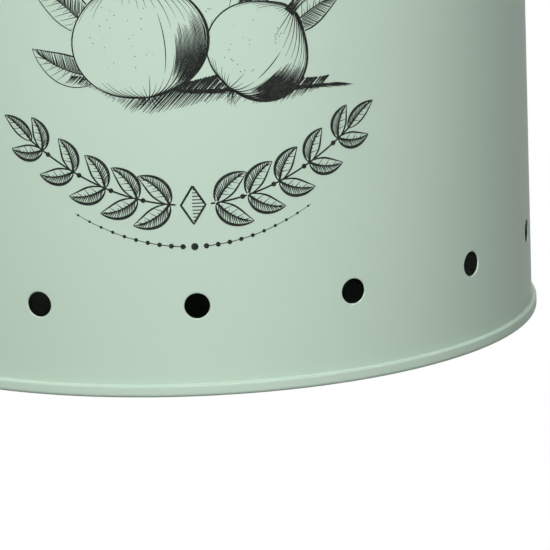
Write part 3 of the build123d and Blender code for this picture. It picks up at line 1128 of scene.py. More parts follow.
@dataclass
class DropHandle:
    """A wire bail in a riveted bracket, with a turned wooden grip."""

    side: Side
    pivot_x: float = 128.5
    pivot_height: float = 190.0
    wire_radius: float = 2.0
    drop: float = 45.0
    leg: float = 43.7
    bend_radius: float = 4.0
    pin_end: float = 51.05
    head_radius: float = 3.3
    head_thickness: float = 1.5
    head_edge: float = 0.45
    grip_length: float = 77.4
    grip_radius: float = 8.5
    grip_end_radius: float = 6.25
    grip_edge: float = 1.5
    grip_bore: float = 2.1
    barrel_gap: float = 0.1  # from a rounded end to the barrel's first point
    ring_inset: float = 5.0
    ring_half_width: float = 0.7
    ring_depth: float = 0.45
    rest_x: float = 133.9

    def hanging(self) -> Matrix:
        """The move from the drawing, legs down about the pivot, to rest on the handle's side."""
        swing = math.asin((self.rest_x - self.pivot_x) / self.drop)
        place = Matrix.Translation((self.pivot_x, 0, self.pivot_height))
        return self.side.turn @ place @ Matrix.Rotation(-swing, 4, "Y")

    def bail_path(self) -> list[Point3]:
        """Draw the wire's middle line.

        Returns:
            Points from one pin's end to the other's.
        """
        bend = self.bend_radius
        pin, leg = self.pin_end - self.leg - bend, self.drop - 2 * bend
        walk = SheetLine(-self.pin_end, 0, 0)
        walk.straight(pin).bend(bend, -90, 12).straight(leg).bend(bend, 90, 12)
        walk.straight(2 * (self.leg - bend))
        walk.bend(bend, 90, 12).straight(leg).bend(bend, -90, 12).straight(pin)
        return [(0.0, y, z) for y, z, _ in walk.stations]

    def bail(self) -> bpy.types.Object:
        """Make the wire bail with its two headed ends.

        Returns:
            The bail.
        """
        draft = Draft()
        draft.tube(self.bail_path(), self.wire_radius, 24)
        half, edge, rim = self.head_thickness / 2, self.head_edge, self.head_radius
        outline = [(0.0, -half), (rim - edge, -half)]
        outline += arc((rim - edge, edge - half), edge, -90, 0, 6)
        outline += [(r, -z) for r, z in reversed(outline)]
        head = Draft()
        head.turned(outline, 32, closed=False)
        lay = Matrix.Rotation(math.pi / 2, 4, "X")
        for end in (-self.pin_end, self.pin_end):
            draft.join(head.moved(Matrix.Translation((0, end, 0)) @ lay))
        name = f"{self.side.label}_wire_bail"
        piece = draft.moved(self.hanging()).finish(name, Coat.BLACK.value)
        return fit(piece, f"{self.side.label}_handle", Slot.BLACK, f"{self.side.label}_bail")

    def barrel(self, at: float) -> float:
        """The grip's radius between its rounded ends.

        Args:
            at: the place along it, from its middle.

        Returns:
            The radius, less where one of the two turned rings is cut.
        """
        half = self.grip_length / 2
        swell = self.grip_radius - self.grip_end_radius
        away = abs(half - self.ring_inset - abs(at)) / self.ring_half_width
        cut = self.ring_depth * max(0, 1 - away**2)
        return self.grip_end_radius + swell * (1 - (at / half) ** 2) - cut

    def grip_outline(self) -> list[Point2]:
        """Draw half the grip's section.

        Returns:
            Radius and place along the grip, from one end of its bore to the other.
        """
        half, edge, shoulder = self.grip_length / 2, self.grip_edge, self.grip_end_radius
        end = [(self.grip_bore, -half), (shoulder - edge, -half)]
        end += arc((shoulder - edge, edge - half), edge, -90, 0, 8)
        reach, ring = half - edge - self.barrel_gap, half - self.ring_inset
        places = [blend(-reach, reach, share) for share in evenly(60)[1:-1]]
        for middle in (-ring, ring):
            low, high = middle - self.ring_half_width, middle + self.ring_half_width
            places += [blend(low, high, share) for share in evenly(4)]
        barrel = [(self.barrel(at), at) for at in sorted(places)]
        return end + barrel + [(r, -z) for r, z in reversed(end)]

    def grip(self) -> bpy.types.Object:
        """Make the turned grip.

        Returns:
            The grip.
        """
        draft = Draft()
        draft.turned(self.grip_outline(), 48)
        lay = Matrix.Translation((0, 0, -self.drop)) @ Matrix.Rotation(math.pi / 2, 4, "X")
        name = f"{self.side.label}_turned_grip"
        piece = draft.moved(self.hanging() @ lay).finish(name, Coat.GRIP_WOOD.value)
        return fit(piece, f"{self.side.label}_roller", Slot.GRIP, f"{self.side.label}_grip")

    def build(self) -> None:
        """Make the bail and the grip, and coat the solids that stay."""
        self.bail()
        self.grip()
        coat_node(f"{self.side.label}_bracket", Coat.BLACK)
        coat_node(f"{self.side.label}_rivets", Coat.BLACK)
        coat_node(f"{self.side.label}_rivet_burrs", Coat.ZINC)


# ---- Lid -----------------------------------------------------------------------------------


@dataclass
class KnobShape:
    """The turned knob's section: an upright foot, a hollow cove, a rounded edge and a dome."""

    foot: float = 12.0
    foot_round: float = 0.8
    foot_cut: float = 0.3
    foot_edge: float = 2.2
    neck: float = 7.5
    neck_height: float = 9.0
    crown: float = 19.0
    crown_height: float = 21.0
    height: float = 30.0

    def outline(self) -> list[Point2]:
        """Draw the section, with each arc touching the next.

        Returns:
            Points from the foot's edge to the middle of the crown.
        """
        fall, rise = self.neck_height - self.foot_edge, self.crown_height - self.neck_height
        waist = self.foot - self.neck
        cove = (waist**2 + fall**2) / (2 * waist)
        cove_centre = (self.neck + cove, self.neck_height)
        reach = self.crown - cove_centre[0]
        edge = (reach**2 + rise**2 - cove**2) / (2 * (cove + reach))
        edge_centre = (self.crown - edge, self.crown_height)
        cap = self.height - self.crown_height
        dome = (edge_centre[0] ** 2 + cap**2 - edge**2) / (2 * (cap - edge))
        foot_angle = 360 + math.degrees(math.atan2(-fall, self.foot - cove_centre[0]))
        join = math.degrees(math.atan2(rise, edge_centre[0] - cove_centre[0]))
        shoulder = math.degrees(math.atan2(dome - cap, edge_centre[0]))
        points: list[Point2] = [
            (self.foot - self.foot_round, 0),
            (self.foot - self.foot_cut, self.foot_cut),
            (self.foot, self.foot_round),
            (self.foot, self.foot_edge),
        ]
        points += arc(cove_centre, cove, foot_angle, join, 26)
        points += arc(edge_centre, edge, join - 180, shoulder, 20)
        points += arc((0, self.height - dome), dome, shoulder, 90, 14)
        return points


@dataclass
class Lid:
    """The wooden lid: panel, plug, turned knob and the screw that draws them together."""

    bottom: float = 245.3
    radius: float = 131.4
    thickness: float = 14.0
    edge_radius: float = 4.5
    under_chamfer: float = 1.0
    under_cut: Point2 = (0.3, 0.4)  # in from the rim and up, midway round the chamfer
    groove_radius: float = 105.4
    groove_width: float = 2.4
    groove_rise: float = 0.48  # of the round tool's centre above the panel
    groove_side: float = 0.25
    plug_radius: float = 122.0
    plug_thickness: float = 10.0
    plug_chamfer: float = 2.0
    plug_top_chamfer: float = 0.4
    hole_radius: float = 2.25
    knob_hole_radius: float = 2.05
    knob_hole_depth: float = 18.0
    glue_gap: float = 0.05
    knob_shape: KnobShape = field(default_factory=KnobShape)

    def panel(self) -> bpy.types.Object:
        """Make the round panel with its rounded rim and its turned groove.

        Returns:
            The panel.
        """
        top, rim = self.thickness, self.edge_radius
        cut_in, cut_up = self.under_cut
        tool, middle = self.groove_width / 2, self.groove_radius
        half = math.sqrt(tool**2 - self.groove_rise**2)
        reach = math.degrees(math.asin(half / tool))
        outline: list[Point2] = [
            (self.hole_radius, 0),
            (self.radius - self.under_chamfer, 0),
            (self.radius - cut_in, cut_up),
            (self.radius, self.under_chamfer),
            (self.radius, top - rim),
        ]
        outline += arc((self.radius - rim, top - rim), rim, 0, 90, 12)
        outline += [(middle + half + self.groove_side, top), (middle + half, top)]
        outline += arc((middle, top + self.groove_rise), tool, reach - 90, -reach - 90, 8)
        outline += [(middle - half - self.groove_side, top), (self.hole_radius, top)]
        draft = Draft()
        draft.turned([(r, z + self.bottom) for r, z in outline], 300)
        piece = draft.finish("lid_round_panel", Coat.LID_WOOD.value)
        return fit(piece, "lid", Slot.LID, "lid_panel")

    def plug(self) -> bpy.types.Object:
        """Make the plug disc that drops inside the rim.

        Returns:
            The plug.
        """
        top = self.bottom - self.glue_gap
        low = top - self.plug_thickness
        outline = [
            (self.hole_radius, low),
            (self.plug_radius - self.plug_chamfer, low),
            (self.plug_radius, low + self.plug_chamfer),
            (self.plug_radius, top - self.plug_top_chamfer),
            (self.plug_radius - self.plug_top_chamfer, top),
            (self.hole_radius, top),
        ]
        draft = Draft()
        draft.turned(outline, 240)
        return fit(draft.finish("lid_plug_disc", Coat.LID_WOOD.value), "lid", Slot.LID, "lid_plug")

    def knob(self) -> bpy.types.Object:
        """Make the knob with its screw hole.

        Returns:
            The knob.
        """
        foot = self.bottom + self.thickness + self.glue_gap
        bore, deep = self.knob_hole_radius, self.knob_hole_depth
        outline = [(0.0, deep), (bore, deep), (bore, 0)] + self.knob_shape.outline()
        draft = Draft()
        draft.turned([(r, z + foot) for r, z in outline], 96, closed=False)
        piece = draft.finish("lid_turned_knob", Coat.KNOB_WOOD.value, 40)
        return fit(piece, "lid", Slot.KNOB, "lid_knob")

    def build(self) -> None:
        """Make the wooden pieces and plate the screw and washer."""
        self.panel()
        self.plug()
        self.knob()
        coat_node("knob_screw", Coat.ZINC)
        coat_node("knob_washer", Coat.ZINC)


# ---- Print on the front --------------------------------------------------------------------


@dataclass
class Screen:
    """A flat drawing in millimetres, u to the right and z up, that is rolled on to the wall.

    Strokes are drawn from the nearest motif to the farthest. Each motif then covers what is
    drawn behind it.
    """

    radius: float
    front: float
    rise: float = 0.05
    sink: float = 0.03
    finest: float = 0.05
    dot_sides: int = 10
    draft: Draft = field(default_factory=Draft)
    covers: list[tuple[tuple[float, float, float, float], list[Point2]]] = field(
        default_factory=list
    )

    def roll(self, u: float, z: float, lift: float) -> Point3:
        """The place of a point of the drawing on the wall, lifted off it."""
        return polar(self.radius + lift, self.front + math.degrees(u / self.radius), z)

    def cover(self, outline: Sequence[Point2]) -> None:
        """Hide what is drawn later inside an outline."""
        us, zs = [p[0] for p in outline], [p[1] for p in outline]
        self.covers.append(((min(us), max(us), min(zs), max(zs)), list(outline)))

    def hidden(self, u: float, z: float) -> bool:
        """Whether a nearer motif covers a point."""
        return any(
            left < u < right and low < z < high and inside(outline, u, z)
            for (left, right, low, high), outline in self.covers
        )

    def stroke(self, line: Sequence[Point2], width: Width, step: float = 0.9) -> None:
        """Draw one stroke of the burin, cut where something nearer covers it.

        Args:
            line: its middle line.
            width: its full width, or a rule from the share along it to the width.
            step: the longest distance between its points.
        """
        points = resample(line, step)
        rule = width if callable(width) else (lambda share: width)
        run: list[tuple[Point2, float]] = []
        for share, point in zip(evenly(len(points) - 1), points):
            if self.hidden(*point):
                self.lay(run)
                run = []
            else:
                run.append((point, rule(share)))
        self.lay(run)

    def lay(self, run: Sequence[tuple[Point2, float]]) -> None:
        """Lay the ink of one uncut run.

        Args:
            run: its points, each with the stroke's width there.
        """
        if len(run) < 2:
            return
        rows = []
        for k, ((u, z), width) in enumerate(run):
            (a, b), (c, d) = run[max(k - 1, 0)][0], run[min(k + 1, len(run) - 1)][0]
            length = math.hypot(c - a, d - b) or 1.0
            nu, nz = -(d - b) / length, (c - a) / length
            half = max(width, self.finest) / 2
            left, right = (u + half * nu, z + half * nz), (u - half * nu, z - half * nz)
            rows.append(
                [
                    self.roll(*left, -self.sink),
                    self.roll(*left, self.rise),
                    self.roll(*right, self.rise),
                    self.roll(*right, -self.sink),
                ]
            )
        self.draft.grid(rows, around=True)
        self.draft.add(rows[0], [(0, 1, 2, 3)])
        self.draft.add(rows[-1], [(3, 2, 1, 0)])

    def solid(self, outline: Sequence[Point2]) -> None:
        """Fill a small outline, unless its middle is covered.

        Args:
            outline: its points, which bulge everywhere.
        """
        n = len(outline)
        u, z = sum(p[0] for p in outline) / n, sum(p[1] for p in outline) / n
        if self.hidden(u, z):
            return
        top = [self.roll(*p, self.rise) for p in outline]
        low = [self.roll(*p, -self.sink) for p in outline]
        middle = [self.roll(u, z, self.rise), self.roll(u, z, -self.sink)]
        faces = [(k, (k + 1) % n, 2 * n) for k in range(n)]
        faces += [(n + (k + 1) % n, n + k, 2 * n + 1) for k in range(n)]
        faces += [(k, n + k, n + (k + 1) % n, (k + 1) % n) for k in range(n)]
        self.draft.add(top + low + middle, faces)

    def dot(self, u: float, z: float, radius: float) -> None:
        """Fill a round dot."""
        turns = full_turn(self.dot_sides)
        self.solid([(u + radius * math.cos(t), z + radius * math.sin(t)) for t in turns])


def inside(outline: Sequence[Point2], u: float, z: float) -> bool:
    """Find whether a point lies inside an outline.

    Args:
        outline: the outline's points.
        u: the point's place across the drawing.
        z: its height.

    Returns:
        Whether it does, by the count of edges to its right.
    """
    within = False
    a, b = outline[-1]
    for c, d in outline:
        if (d > z) != (b > z) and u < (a - c) * (z - d) / (b - d) + c:
            within = not within
        a, b = c, d
    return within


def resample(line: Sequence[Point2], step: float) -> list[Point2]:
    """Points along a line, none further apart than a step."""
    points: list[Point2] = [line[0]]
    for (a, b), (c, d) in zip(line, line[1:]):
        parts = max(1, math.ceil(math.hypot(c - a, d - b) / step))
        points += [(blend(a, c, share), blend(b, d, share)) for share in evenly(parts)[1:]]
    return points


def curve(start: Point2, pull: Point2, end: Point2, steps: int = 12) -> list[Point2]:
    """Draw a bend that leans towards a point.

    Args:
        start: where it starts.
        pull: the point that it leans towards.
        end: where it ends.
        steps: how many chords it takes.

    Returns:
        Its points, with both ends.
    """
    points = []
    for t in evenly(steps):
        a, b, c = (1 - t) ** 2, 2 * t * (1 - t), t * t
        u = a * start[0] + b * pull[0] + c * end[0]
        points.append((u, a * start[1] + b * pull[1] + c * end[1]))
    return points


def swelling(width: float, tip: float = 0.08) -> Callable[[float], float]:
    """A stroke that swells from fine tips to a width at its middle."""
    return lambda share: tip + (width - tip) * math.sin(math.pi * share) ** 0.8


def fading(width: float, tip: float = 0.07) -> Callable[[float], float]:
    """A stroke that starts at a width and fades to a fine tip."""
    return lambda share: blend(width, tip, share**0.8)


@dataclass
class EngravedLeaf:
    """A leaf cut the engraver's way: outline, midrib, veins and one hatched half."""

    base: Point2
    tip: Point2
    width: float
    lean: float = 0.0
    dark_side: int = 1
    line: float = 0.42
    hatch_gap: float = 0.62
    weight: float = 1.0
    rib_steps: int = 40
    edge_steps: int = 22
    hatch_step: float = 1.2

    def middle(self, steps: int = 24) -> list[Point2]:
        """The midrib, bent sideways by the lean."""
        (a, b), (c, d) = self.base, self.tip
        pull = ((a + c) / 2 - (d - b) * self.lean, (b + d) / 2 + (c - a) * self.lean)
        return curve(self.base, pull, self.tip, steps)

    def edge(self, share: float, side: float) -> Point2:
        """A point of the blade.

        Args:
            share: how far it lies from the base to the tip.
            side: how far it lies from the midrib, 1 at the left edge and -1 at the right.

        Returns:
            The point.
        """
        rib = self.middle(self.rib_steps)
        at = min(self.rib_steps - 1, int(share * self.rib_steps))
        (a, b), (c, d) = rib[at : at + 2]
        along = share * self.rib_steps - at
        length = math.hypot(c - a, d - b)
        bulge = math.sin(math.pi * share**0.82) ** 0.85 if 0 < share < 1 else 0
        out = self.width / 2 * bulge * side / length
        return (blend(a, c, along) - (d - b) * out, blend(b, d, along) + (c - a) * out)

    def margin(self, side: int) -> list[Point2]:
        """The blade's left or right edge, from the base to the tip."""
        return [self.edge(share, side) for share in evenly(self.edge_steps)]

    def outline(self) -> list[Point2]:
        """The whole leaf's outline."""
        return self.margin(1) + self.margin(-1)[-2:0:-1]

    def draw(self, screen: Screen, chance: random.Random) -> None:
        """Draw the leaf and cover what lies behind it.

        Args:
            screen: the drawing.
            chance: where the hand's unevenness comes from.
        """
        for side in (-1, 1):
            heavy = self.line * (1.35 if side == self.dark_side else 0.8) * self.weight
            screen.stroke(self.margin(side), swelling(heavy, 0.16))
        screen.stroke(self.middle(), fading(self.line * 1.2 * self.weight, 0.12))
        length = math.dist(self.base, self.tip)
        count = max(4, round(length / self.hatch_gap * 0.92))
        for k in range(1, count):
            at = 0.03 + 0.9 * k / count
            reach = at + 0.12 + chance.uniform(-0.01, 0.01)
            if reach > 0.99:
                continue
            rib = self.edge(at, 0)
            rim = self.edge(reach, chance.uniform(0.82, 0.98) * self.dark_side)
            screen.stroke([rib, rim], fading(0.42 * self.weight, 0.2), self.hatch_step)
            if k % 4 == 0:
                vein = self.edge(reach, -0.9 * self.dark_side)
                screen.stroke([rib, vein], fading(0.3 * self.weight, 0.1), self.hatch_step)
            elif k % 2 == 0:
                near = self.edge(at + 0.03, -chance.uniform(0.3, 0.5) * self.dark_side)
                screen.stroke([rib, near], fading(0.24 * self.weight, 0.08), self.hatch_step)
        screen.cover(self.outline())


@dataclass
class EngravedBulb:
    """An onion cut the engraver's way: skins as meridian lines, a neck, roots and shade."""

    centre: Point2
    half_width: float
    half_height: float
    tilt: float = 0.0
    neck: float = 9.0
    line: float = 0.5
    edge_steps: int = 30
    meridians: int = 19

    def place(self, x: float, y: float) -> Point2:
        """A point of the upright bulb, tilted and put in its place."""
        turn = math.radians(self.tilt)
        return (
            self.centre[0] + x * math.cos(turn) - y * math.sin(turn),
            self.centre[1] + x * math.sin(turn) + y * math.cos(turn),
        )

    def skin(self, bulge: float, at: float) -> Point2:
        """A point on one meridian.

        Args:
            bulge: the meridian's sideways share, from -1 at the left edge to 1 at the right.
            at: the way along it, from 0 at the root to 1 at the neck.

        Returns:
            The point.
        """
        angle = math.pi * (at - 0.5)
        wide = math.cos(angle) ** 0.92 if 0 < at < 1 else 0.0
        x = self.half_width * bulge * wide
        y = self.half_height * math.sin(angle)
        pinch = math.exp(-((max(0.0, 1 - at) / 0.12) ** 1.4))
        x += bulge * 1.9 * pinch
        y += self.neck * 0.35 * pinch
        return self.place(x, y)

    def margin(self, side: int) -> list[Point2]:
        """The bulb's left or right edge, from the root to the neck."""
        return [self.skin(side, share) for share in evenly(self.edge_steps)]

    def outline(self) -> list[Point2]:
        """The bulb's outline with its neck."""
        return self.margin(-1) + self.margin(1)[::-1]

    def draw(self, screen: Screen, chance: random.Random) -> None:
        """Draw the bulb and cover what lies behind it.

        Args:
            screen: the drawing.
            chance: where the hand's unevenness comes from.
        """
        screen.stroke(self.margin(-1), swelling(self.line, 0.3))
        screen.stroke(self.margin(1), swelling(self.line * 1.7, 0.4))
        self.draw_skins(screen, chance)
        self.draw_shadow(screen, chance)
        self.draw_specks(screen, chance)
        self.draw_neck(screen, chance)
        self.draw_roots(screen, chance)
        screen.cover(self.outline())

    def part(self, screen: Screen, bulge: float, start: float, end: float, width: Width) -> None:
        """Draw a stretch of one meridian."""
        screen.stroke([self.skin(bulge, blend(start, end, s)) for s in evenly(12)], width)

    def draw_skins(self, screen: Screen, chance: random.Random) -> None:
        """Draw the skins' ribs, which fade out towards the lit middle of the bulb.

        Args:
            screen: the drawing.
            chance: where the hand's unevenness comes from.
        """
        for k in range(1, self.meridians):
            bulge = math.sin(blend(-80, 80, k / self.meridians) * math.pi / 180)
            shaded = max(0, bulge)
            low = chance.uniform(0.2, 0.34) + 0.34 * shaded**2
            high = chance.uniform(0.62, 0.78) - 0.2 * shaded
            if abs(bulge + 0.35) < 0.28:
                low, high = low * 0.7, high + 0.1
            self.part(screen, bulge, 0.015, low, fading(0.46 + 0.2 * shaded, 0.08))
            self.part(screen, bulge, 0.985, high, fading(0.42 + 0.16 * shaded, 0.08))
            if bulge > 0.35 and k % 2 == 0:
                self.part(screen, bulge, low + 0.04, high - 0.03, swelling(0.34, 0.08))

    def draw_shadow(self, screen: Screen, chance: random.Random, cuts: int = 26) -> None:
        """Draw the close cuts on the side away from the light.

        Args:
            screen: the drawing.
            chance: where the hand's unevenness comes from.
            cuts: how many there are.
        """
        for share in evenly(cuts - 1):
            bulge = blend(0.52, 0.98, share)
            middle = 0.36 + chance.uniform(-0.04, 0.04)
            reach = 0.1 + 0.22 * (bulge - 0.5)
            self.part(screen, bulge, middle - reach, middle + reach * 1.4, swelling(0.36, 0.08))

    def draw_specks(self, screen: Screen, chance: random.Random, specks: int = 26) -> None:
        """Draw the specks on the lit side.

        Args:
            screen: the drawing.
            chance: where they fall and how big they are.
            specks: how many there are.
        """
        for _ in range(specks):
            bulge, at = chance.uniform(-0.75, 0.2), chance.uniform(0.3, 0.75)
            screen.dot(*self.skin(bulge, at), chance.uniform(0.1, 0.2))

    def draw_neck(self, screen: Screen, chance: random.Random, blades: int = 9) -> None:
        """Draw the dry, twisted neck.

        Args:
            screen: the drawing.
            chance: how the blades lean and how long they are.
            blades: how many there are.
        """
        foot = self.half_height + self.neck * 0.33
        for share in evenly(blades - 1):
            x = blend(-1.8, 1.8, share)
            lean = chance.uniform(-1.2, 2.0)
            tip = (x * 1.9 + lean, foot + self.neck * chance.uniform(0.75, 1.05))
            line = curve((x, foot - 1.5), (x * 0.55, foot + self.neck * 0.45), tip)
            screen.stroke([self.place(*p) for p in line], fading(0.5, 0.12))

    def draw_roots(self, screen: Screen, chance: random.Random, roots: int = 15) -> None:
        """Draw the tuft of roots.

        Args:
            screen: the drawing.
            chance: how the roots bend and how long they are.
            roots: how many there are.
        """
        foot = -self.half_height
        for share in evenly(roots - 1):
            x = blend(-2.6, 2.6, share)
            end = (x * 2.3 + chance.uniform(-0.8, 0.8), foot - chance.uniform(2.2, 4.6))
            pull = (x * 1.2 + chance.uniform(-1, 1), foot - 1.8)
            line = curve((x, foot + 0.3), pull, end)
            screen.stroke([self.place(*p) for p in line], fading(0.34, 0.08))


@dataclass
class FrontPrint:
    """The screen print: engraved onions and leaves over a hanging laurel and a string of beads."""

    radius: float = 125.0
    front: float = -90.0
    bed_height: float = 107.5
    laurel_height: float = 67.0
    laurel_half: float = 62.0
    laurel_rise: float = 27.0  # from the laurel's middle to its ends
    lozenge: Point2 = (4.2, 6.6)  # half its width and half its height
    leaf_start: float = 8.0
    leaf_pitch: float = 11.0
    bead_drop: float = 14.5
    bead_pitch: float = 4.0
    seed: int = 41

    def build(self) -> None:
        """Draw the three parts and roll them on to the wall."""
        self.roll_on("print_onions_and_leaves", self.draw_harvest)
        self.roll_on("print_laurel", self.draw_laurel)
        self.roll_on("print_bead_string", self.draw_beads)

    def roll_on(self, name: str, draw: Callable[[Screen, random.Random], None]) -> None:
        """Make one part of the print.

        Args:
            name: the piece's name.
            draw: what draws it.
        """
        screen = Screen(self.radius, self.front)
        draw(screen, random.Random(self.seed))
        fit(screen.draft.finish(name, Coat.INK.value, 20), "bin", Slot.BODY)

    def draw_harvest(self, screen: Screen, chance: random.Random) -> None:
        """Draw three onions on a bed of shade, with leaves behind them.

        Args:
            screen: the drawing.
            chance: where the hand's unevenness comes from.
        """
        EngravedBulb((-16, 123.5), 23.5, 19.0, 7, 10).draw(screen, chance)
        EngravedBulb((24, 118.5), 18.5, 15.5, -42, 9).draw(screen, chance)
        self.draw_bed(screen, chance)
        EngravedBulb((9, 143), 20.5, 17.5, -6, 12).draw(screen, chance)
        leaves = [
            EngravedLeaf((-30, 112), (-54, 121), 10.5, 0.18, -1),
            EngravedLeaf((-32, 126), (-55, 144), 12, -0.14, -1),
            EngravedLeaf((-26, 138), (-41, 163), 12.5, -0.16, 1),
            EngravedLeaf((-14, 146), (-17, 178), 12, 0.12, 1),
            EngravedLeaf((34, 124), (55, 136), 11, 0.16, -1),
            EngravedLeaf((27, 138), (49, 157), 12.5, 0.14, -1),
            EngravedLeaf((22, 152), (35, 181), 12.5, 0.12, -1),
            EngravedLeaf((6, 158), (6, 192), 12, -0.1, 1),
        ]
        for leaf in leaves:
            leaf.draw(screen, chance)

    def draw_bed(self, screen: Screen, chance: random.Random) -> None:
        """Draw the dark bed under the onions: close, slanting cuts, and longer ones to the right.

        Args:
            screen: the drawing.
            chance: where the cuts' ragged ends come from.
        """
        for share in evenly(149):
            u = blend(-42, 47, share) + chance.uniform(-0.4, 0.4)
            depth = 7.2 * math.exp(-(((u - 10) / 34) ** 4)) * chance.uniform(0.75, 1.1)
            top = self.bed_height + 2.0 * math.sin(u / 9)
            end = (u - depth * 0.95, top - depth)
            screen.stroke([(u + 2.5, top + 2.6), end], fading(0.62, 0.12))
        for share in evenly(59):
            u = blend(-8, 52, share) + chance.uniform(-0.5, 0.5)
            top = self.bed_height - 1.0 - 0.03 * (u - 20)
            length = chance.uniform(5, 10)
            screen.stroke([(u, top), (u + length, top - length * 0.22)], swelling(0.4, 0.08))

    def garland(self, u: float, below: float = 0.0) -> Point2:
        """A point of the laurel's hanging line, or of a line that far below it."""
        rise = self.laurel_rise * (u / self.laurel_half) ** 2
        return (u, self.laurel_height - below + rise)

    def draw_laurel(self, screen: Screen, chance: random.Random) -> None:
        """Draw the laurel under the onions: two hanging branches that meet at a lozenge.

        Args:
            screen: the drawing.
            chance: where the hand's unevenness comes from.
        """
        self.draw_lozenge(screen)
        for side in (-1, 1):
            for k in range(5):
                at = self.leaf_start + self.leaf_pitch * k
                self.draw_leaf_pair(screen, chance, side, at, k)
                if k < 4:
                    screen.dot(*self.garland(side * (at + 9.0)), 0.9)
            base, tip = self.garland(side * 56.0), self.garland(side * 66.0)
            EngravedLeaf(base, tip, 4.6, 0.1 * side, side, 0.6, 0.7, 1.2).draw(screen, chance)
            screen.stroke([self.garland(side * u) for u in range(6, 57)], 0.6)

    def draw_lozenge(self, screen: Screen) -> None:
        """Draw the hatched lozenge at the laurel's middle, and cover what lies behind it.

        Args:
            screen: the drawing.
        """
        wide, tall = self.lozenge
        corners = [(0, tall), (wide, 0), (0, -tall), (-wide, 0)]
        outline = [(u, self.laurel_height + z) for u, z in corners]
        screen.stroke(outline + outline[:1], 0.75)
        for share in evenly(11)[1:-1]:
            half = wide * (1 - abs(1 - 2 * share))
            z = self.laurel_height + blend(-tall, tall, share)
            if half > 0.5:
                screen.stroke([(-half * 0.1, z), (half * 0.92, z)], 0.36)
        screen.cover(outline)

    def draw_leaf_pair(
        self, screen: Screen, chance: random.Random, side: int, at: float, place: int
    ) -> None:
        """Draw two leaves that open from one point of a branch.

        Args:
            screen: the drawing.
            chance: where the hand's unevenness comes from.
            side: 1 for the right-hand branch, -1 for the left.
            at: how far out the leaves start.
            place: the pair's number, from the middle. Pairs further out are smaller.
        """
        foot, ahead = self.garland(side * at), self.garland(side * (at + 1.0))
        along = math.atan2(ahead[1] - foot[1], ahead[0] - foot[0])
        length, width = 14.6 - 0.7 * place, 6.3 - 0.25 * place
        for up in (-1, 1):
            turn = along + side * up * math.radians(36)
            tip = (foot[0] + length * math.cos(turn), foot[1] + length * math.sin(turn))
            dark = side * up
            EngravedLeaf(foot, tip, width, 0.2 * dark, dark, 0.62, 0.7, 1.3).draw(screen, chance)

    def draw_beads(self, screen: Screen, chance: random.Random) -> None:
        """Draw the fine string of beads that hangs below the laurel.

        Args:
            screen: the drawing.
            chance: unused, because beads are even.
        """
        for side in (-1, 1):
            string = [self.garland(side * u, self.bead_drop) for u in range(3, 42)]
            screen.stroke(string, fading(0.34, 0.16))
            for k in range(10):
                at = side * self.bead_pitch * (k + 1)
                screen.dot(*self.garland(at, self.bead_drop), 0.95 - 0.06 * k)
        screen.dot(*self.garland(0, self.bead_drop), 1.3)


# ---- Floor, light and camera ---------------------------------------------------------------


@dataclass(frozen=True)
class Softbox:
    """A square soft lamp, with its place and size in metres and its power in watts."""

    name: str
    place: Point3
    size: float
    power: float
    aim: Point3 = (0, 0, 0.12)

    def hang(self) -> None:
        """Hang the lamp, facing its aim."""
        data = bpy.data.lights.new(self.name, "AREA")
        data.shape = "SQUARE"
        data.size = self.size
        data.energy = self.power
        lamp = bpy.data.objects.new(self.name, data)
        lamp.location = self.place
        facing = Vector(self.aim) - Vector(self.place)
        lamp.rotation_euler = facing.to_track_quat("-Z", "Y").to_euler()
        bpy.context.scene.collection.objects.link(lamp)


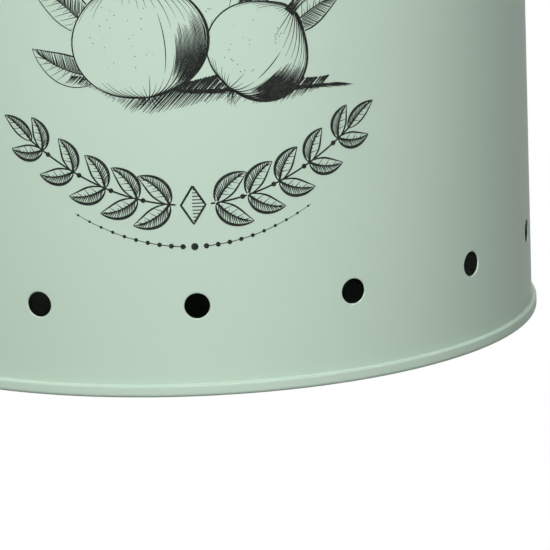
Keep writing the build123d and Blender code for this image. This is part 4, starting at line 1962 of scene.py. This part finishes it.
@dataclass
class Studio:
    """The plain floor, the soft lamps, the white surroundings and the camera."""

    eye: Point3 = (-0.0131, -1.5999, 0.3794)
    yaw: float = 1.556
    pitch: float = 12.902
    roll: float = -2.045
    lens: float = 290.129
    floor_reach: float = 6.0
    world_light: float = 0.05
    softboxes: tuple[Softbox, ...] = (
        Softbox("left_softbox", (-0.255, -1.103, 0.855), 0.8, 14.6),
        Softbox("front_softbox", (0.237, -1.342, 0.616), 0.8, 4.2),
        Softbox("right_softbox", (0.531, -1.0, 0.855), 0.8, 3.4),
        Softbox("overhead_softbox", (0.0, 0.0, 2.2), 1.2, 7),
        Softbox("back_softbox", (0.0, 1.9, 1.1), 1.2, 18),
        Softbox("far_side_softbox", (-1.9, 0.9, 0.8), 1.0, 12),
    )

    def camera(self) -> None:
        """Set the long lens in front of the bin, a little above and tilted down."""
        turn, tip, lean = (math.radians(a) for a in (self.yaw, self.pitch, self.roll))
        ahead = Vector((math.sin(turn), math.cos(turn), 0))
        forward = ahead * math.cos(tip) - Vector((0, 0, math.sin(tip)))
        level = Vector((math.cos(turn), -math.sin(turn), 0))
        above = level.cross(forward)
        right = level * math.cos(lean) + above * math.sin(lean)
        up = above * math.cos(lean) - level * math.sin(lean)
        data = bpy.data.cameras.new("front_camera")
        data.lens = self.lens
        data.sensor_width = 36.0
        data.sensor_fit = "HORIZONTAL"
        data.clip_start = 0.05
        data.clip_end = 30
        camera = bpy.data.objects.new("front_camera", data)
        camera.matrix_world = Matrix(
            (
                (right.x, up.x, -forward.x, self.eye[0]),
                (right.y, up.y, -forward.y, self.eye[1]),
                (right.z, up.z, -forward.z, self.eye[2]),
                (0, 0, 0, 1),
            )
        )
        bpy.context.scene.collection.objects.link(camera)
        bpy.context.scene.camera = camera

    def surroundings(self) -> None:
        """Light the bin with a soft grey world that the camera and gloss see as white."""
        world = bpy.data.worlds.new("white_surroundings")
        bpy.context.scene.world = world
        world.use_nodes = True
        nodes = Nodes(world.node_tree)
        soft = nodes.node("Background", Color=(1, 1, 1, 1), Strength=self.world_light)
        white = nodes.node("Background", Color=(1, 1, 1, 1), Strength=1.0)
        mix = nodes.node("MixShader")
        nodes.join(nodes.seen_as_white(), 0, mix, 0)
        nodes.join(soft, 0, mix, 1)
        nodes.join(white, 0, mix, 2)
        nodes.join(mix, 0, nodes.node("OutputWorld"), "Surface")

    def floor(self) -> None:
        """Lay the white floor, which keeps a soft shadow of the bin."""
        far = self.floor_reach
        corners = [(-far, -far, 0), (far, -far, 0), (far, far, 0), (-far, far, 0)]
        mesh = bpy.data.meshes.new("studio_floor")
        mesh.from_pydata(corners, [], [(0, 1, 2, 3)])
        mesh.materials.append(WhiteFloor("white_floor").material())
        floor = bpy.data.objects.new("studio_floor", mesh)
        bpy.context.scene.collection.objects.link(floor)

    def build(self) -> None:
        """Set up everything that isn't the bin."""
        bpy.context.scene.view_settings.view_transform = "Standard"
        self.floor()
        self.surroundings()
        for softbox in self.softboxes:
            softbox.hang()
        self.camera()


def main() -> None:
    """Make every sub-assembly in the order it goes together."""
    logging.basicConfig(level=logging.INFO, format="%(name)s: %(message)s")
    BodyShell().build()
    BasePan().build()
    coat_node("rim_wire", Coat.ZINC)
    FrontPrint().build()
    for side in Side:
        DropHandle(side).build()
    Lid().build()
    Studio().build()


if __name__ == "__main__":
    main()
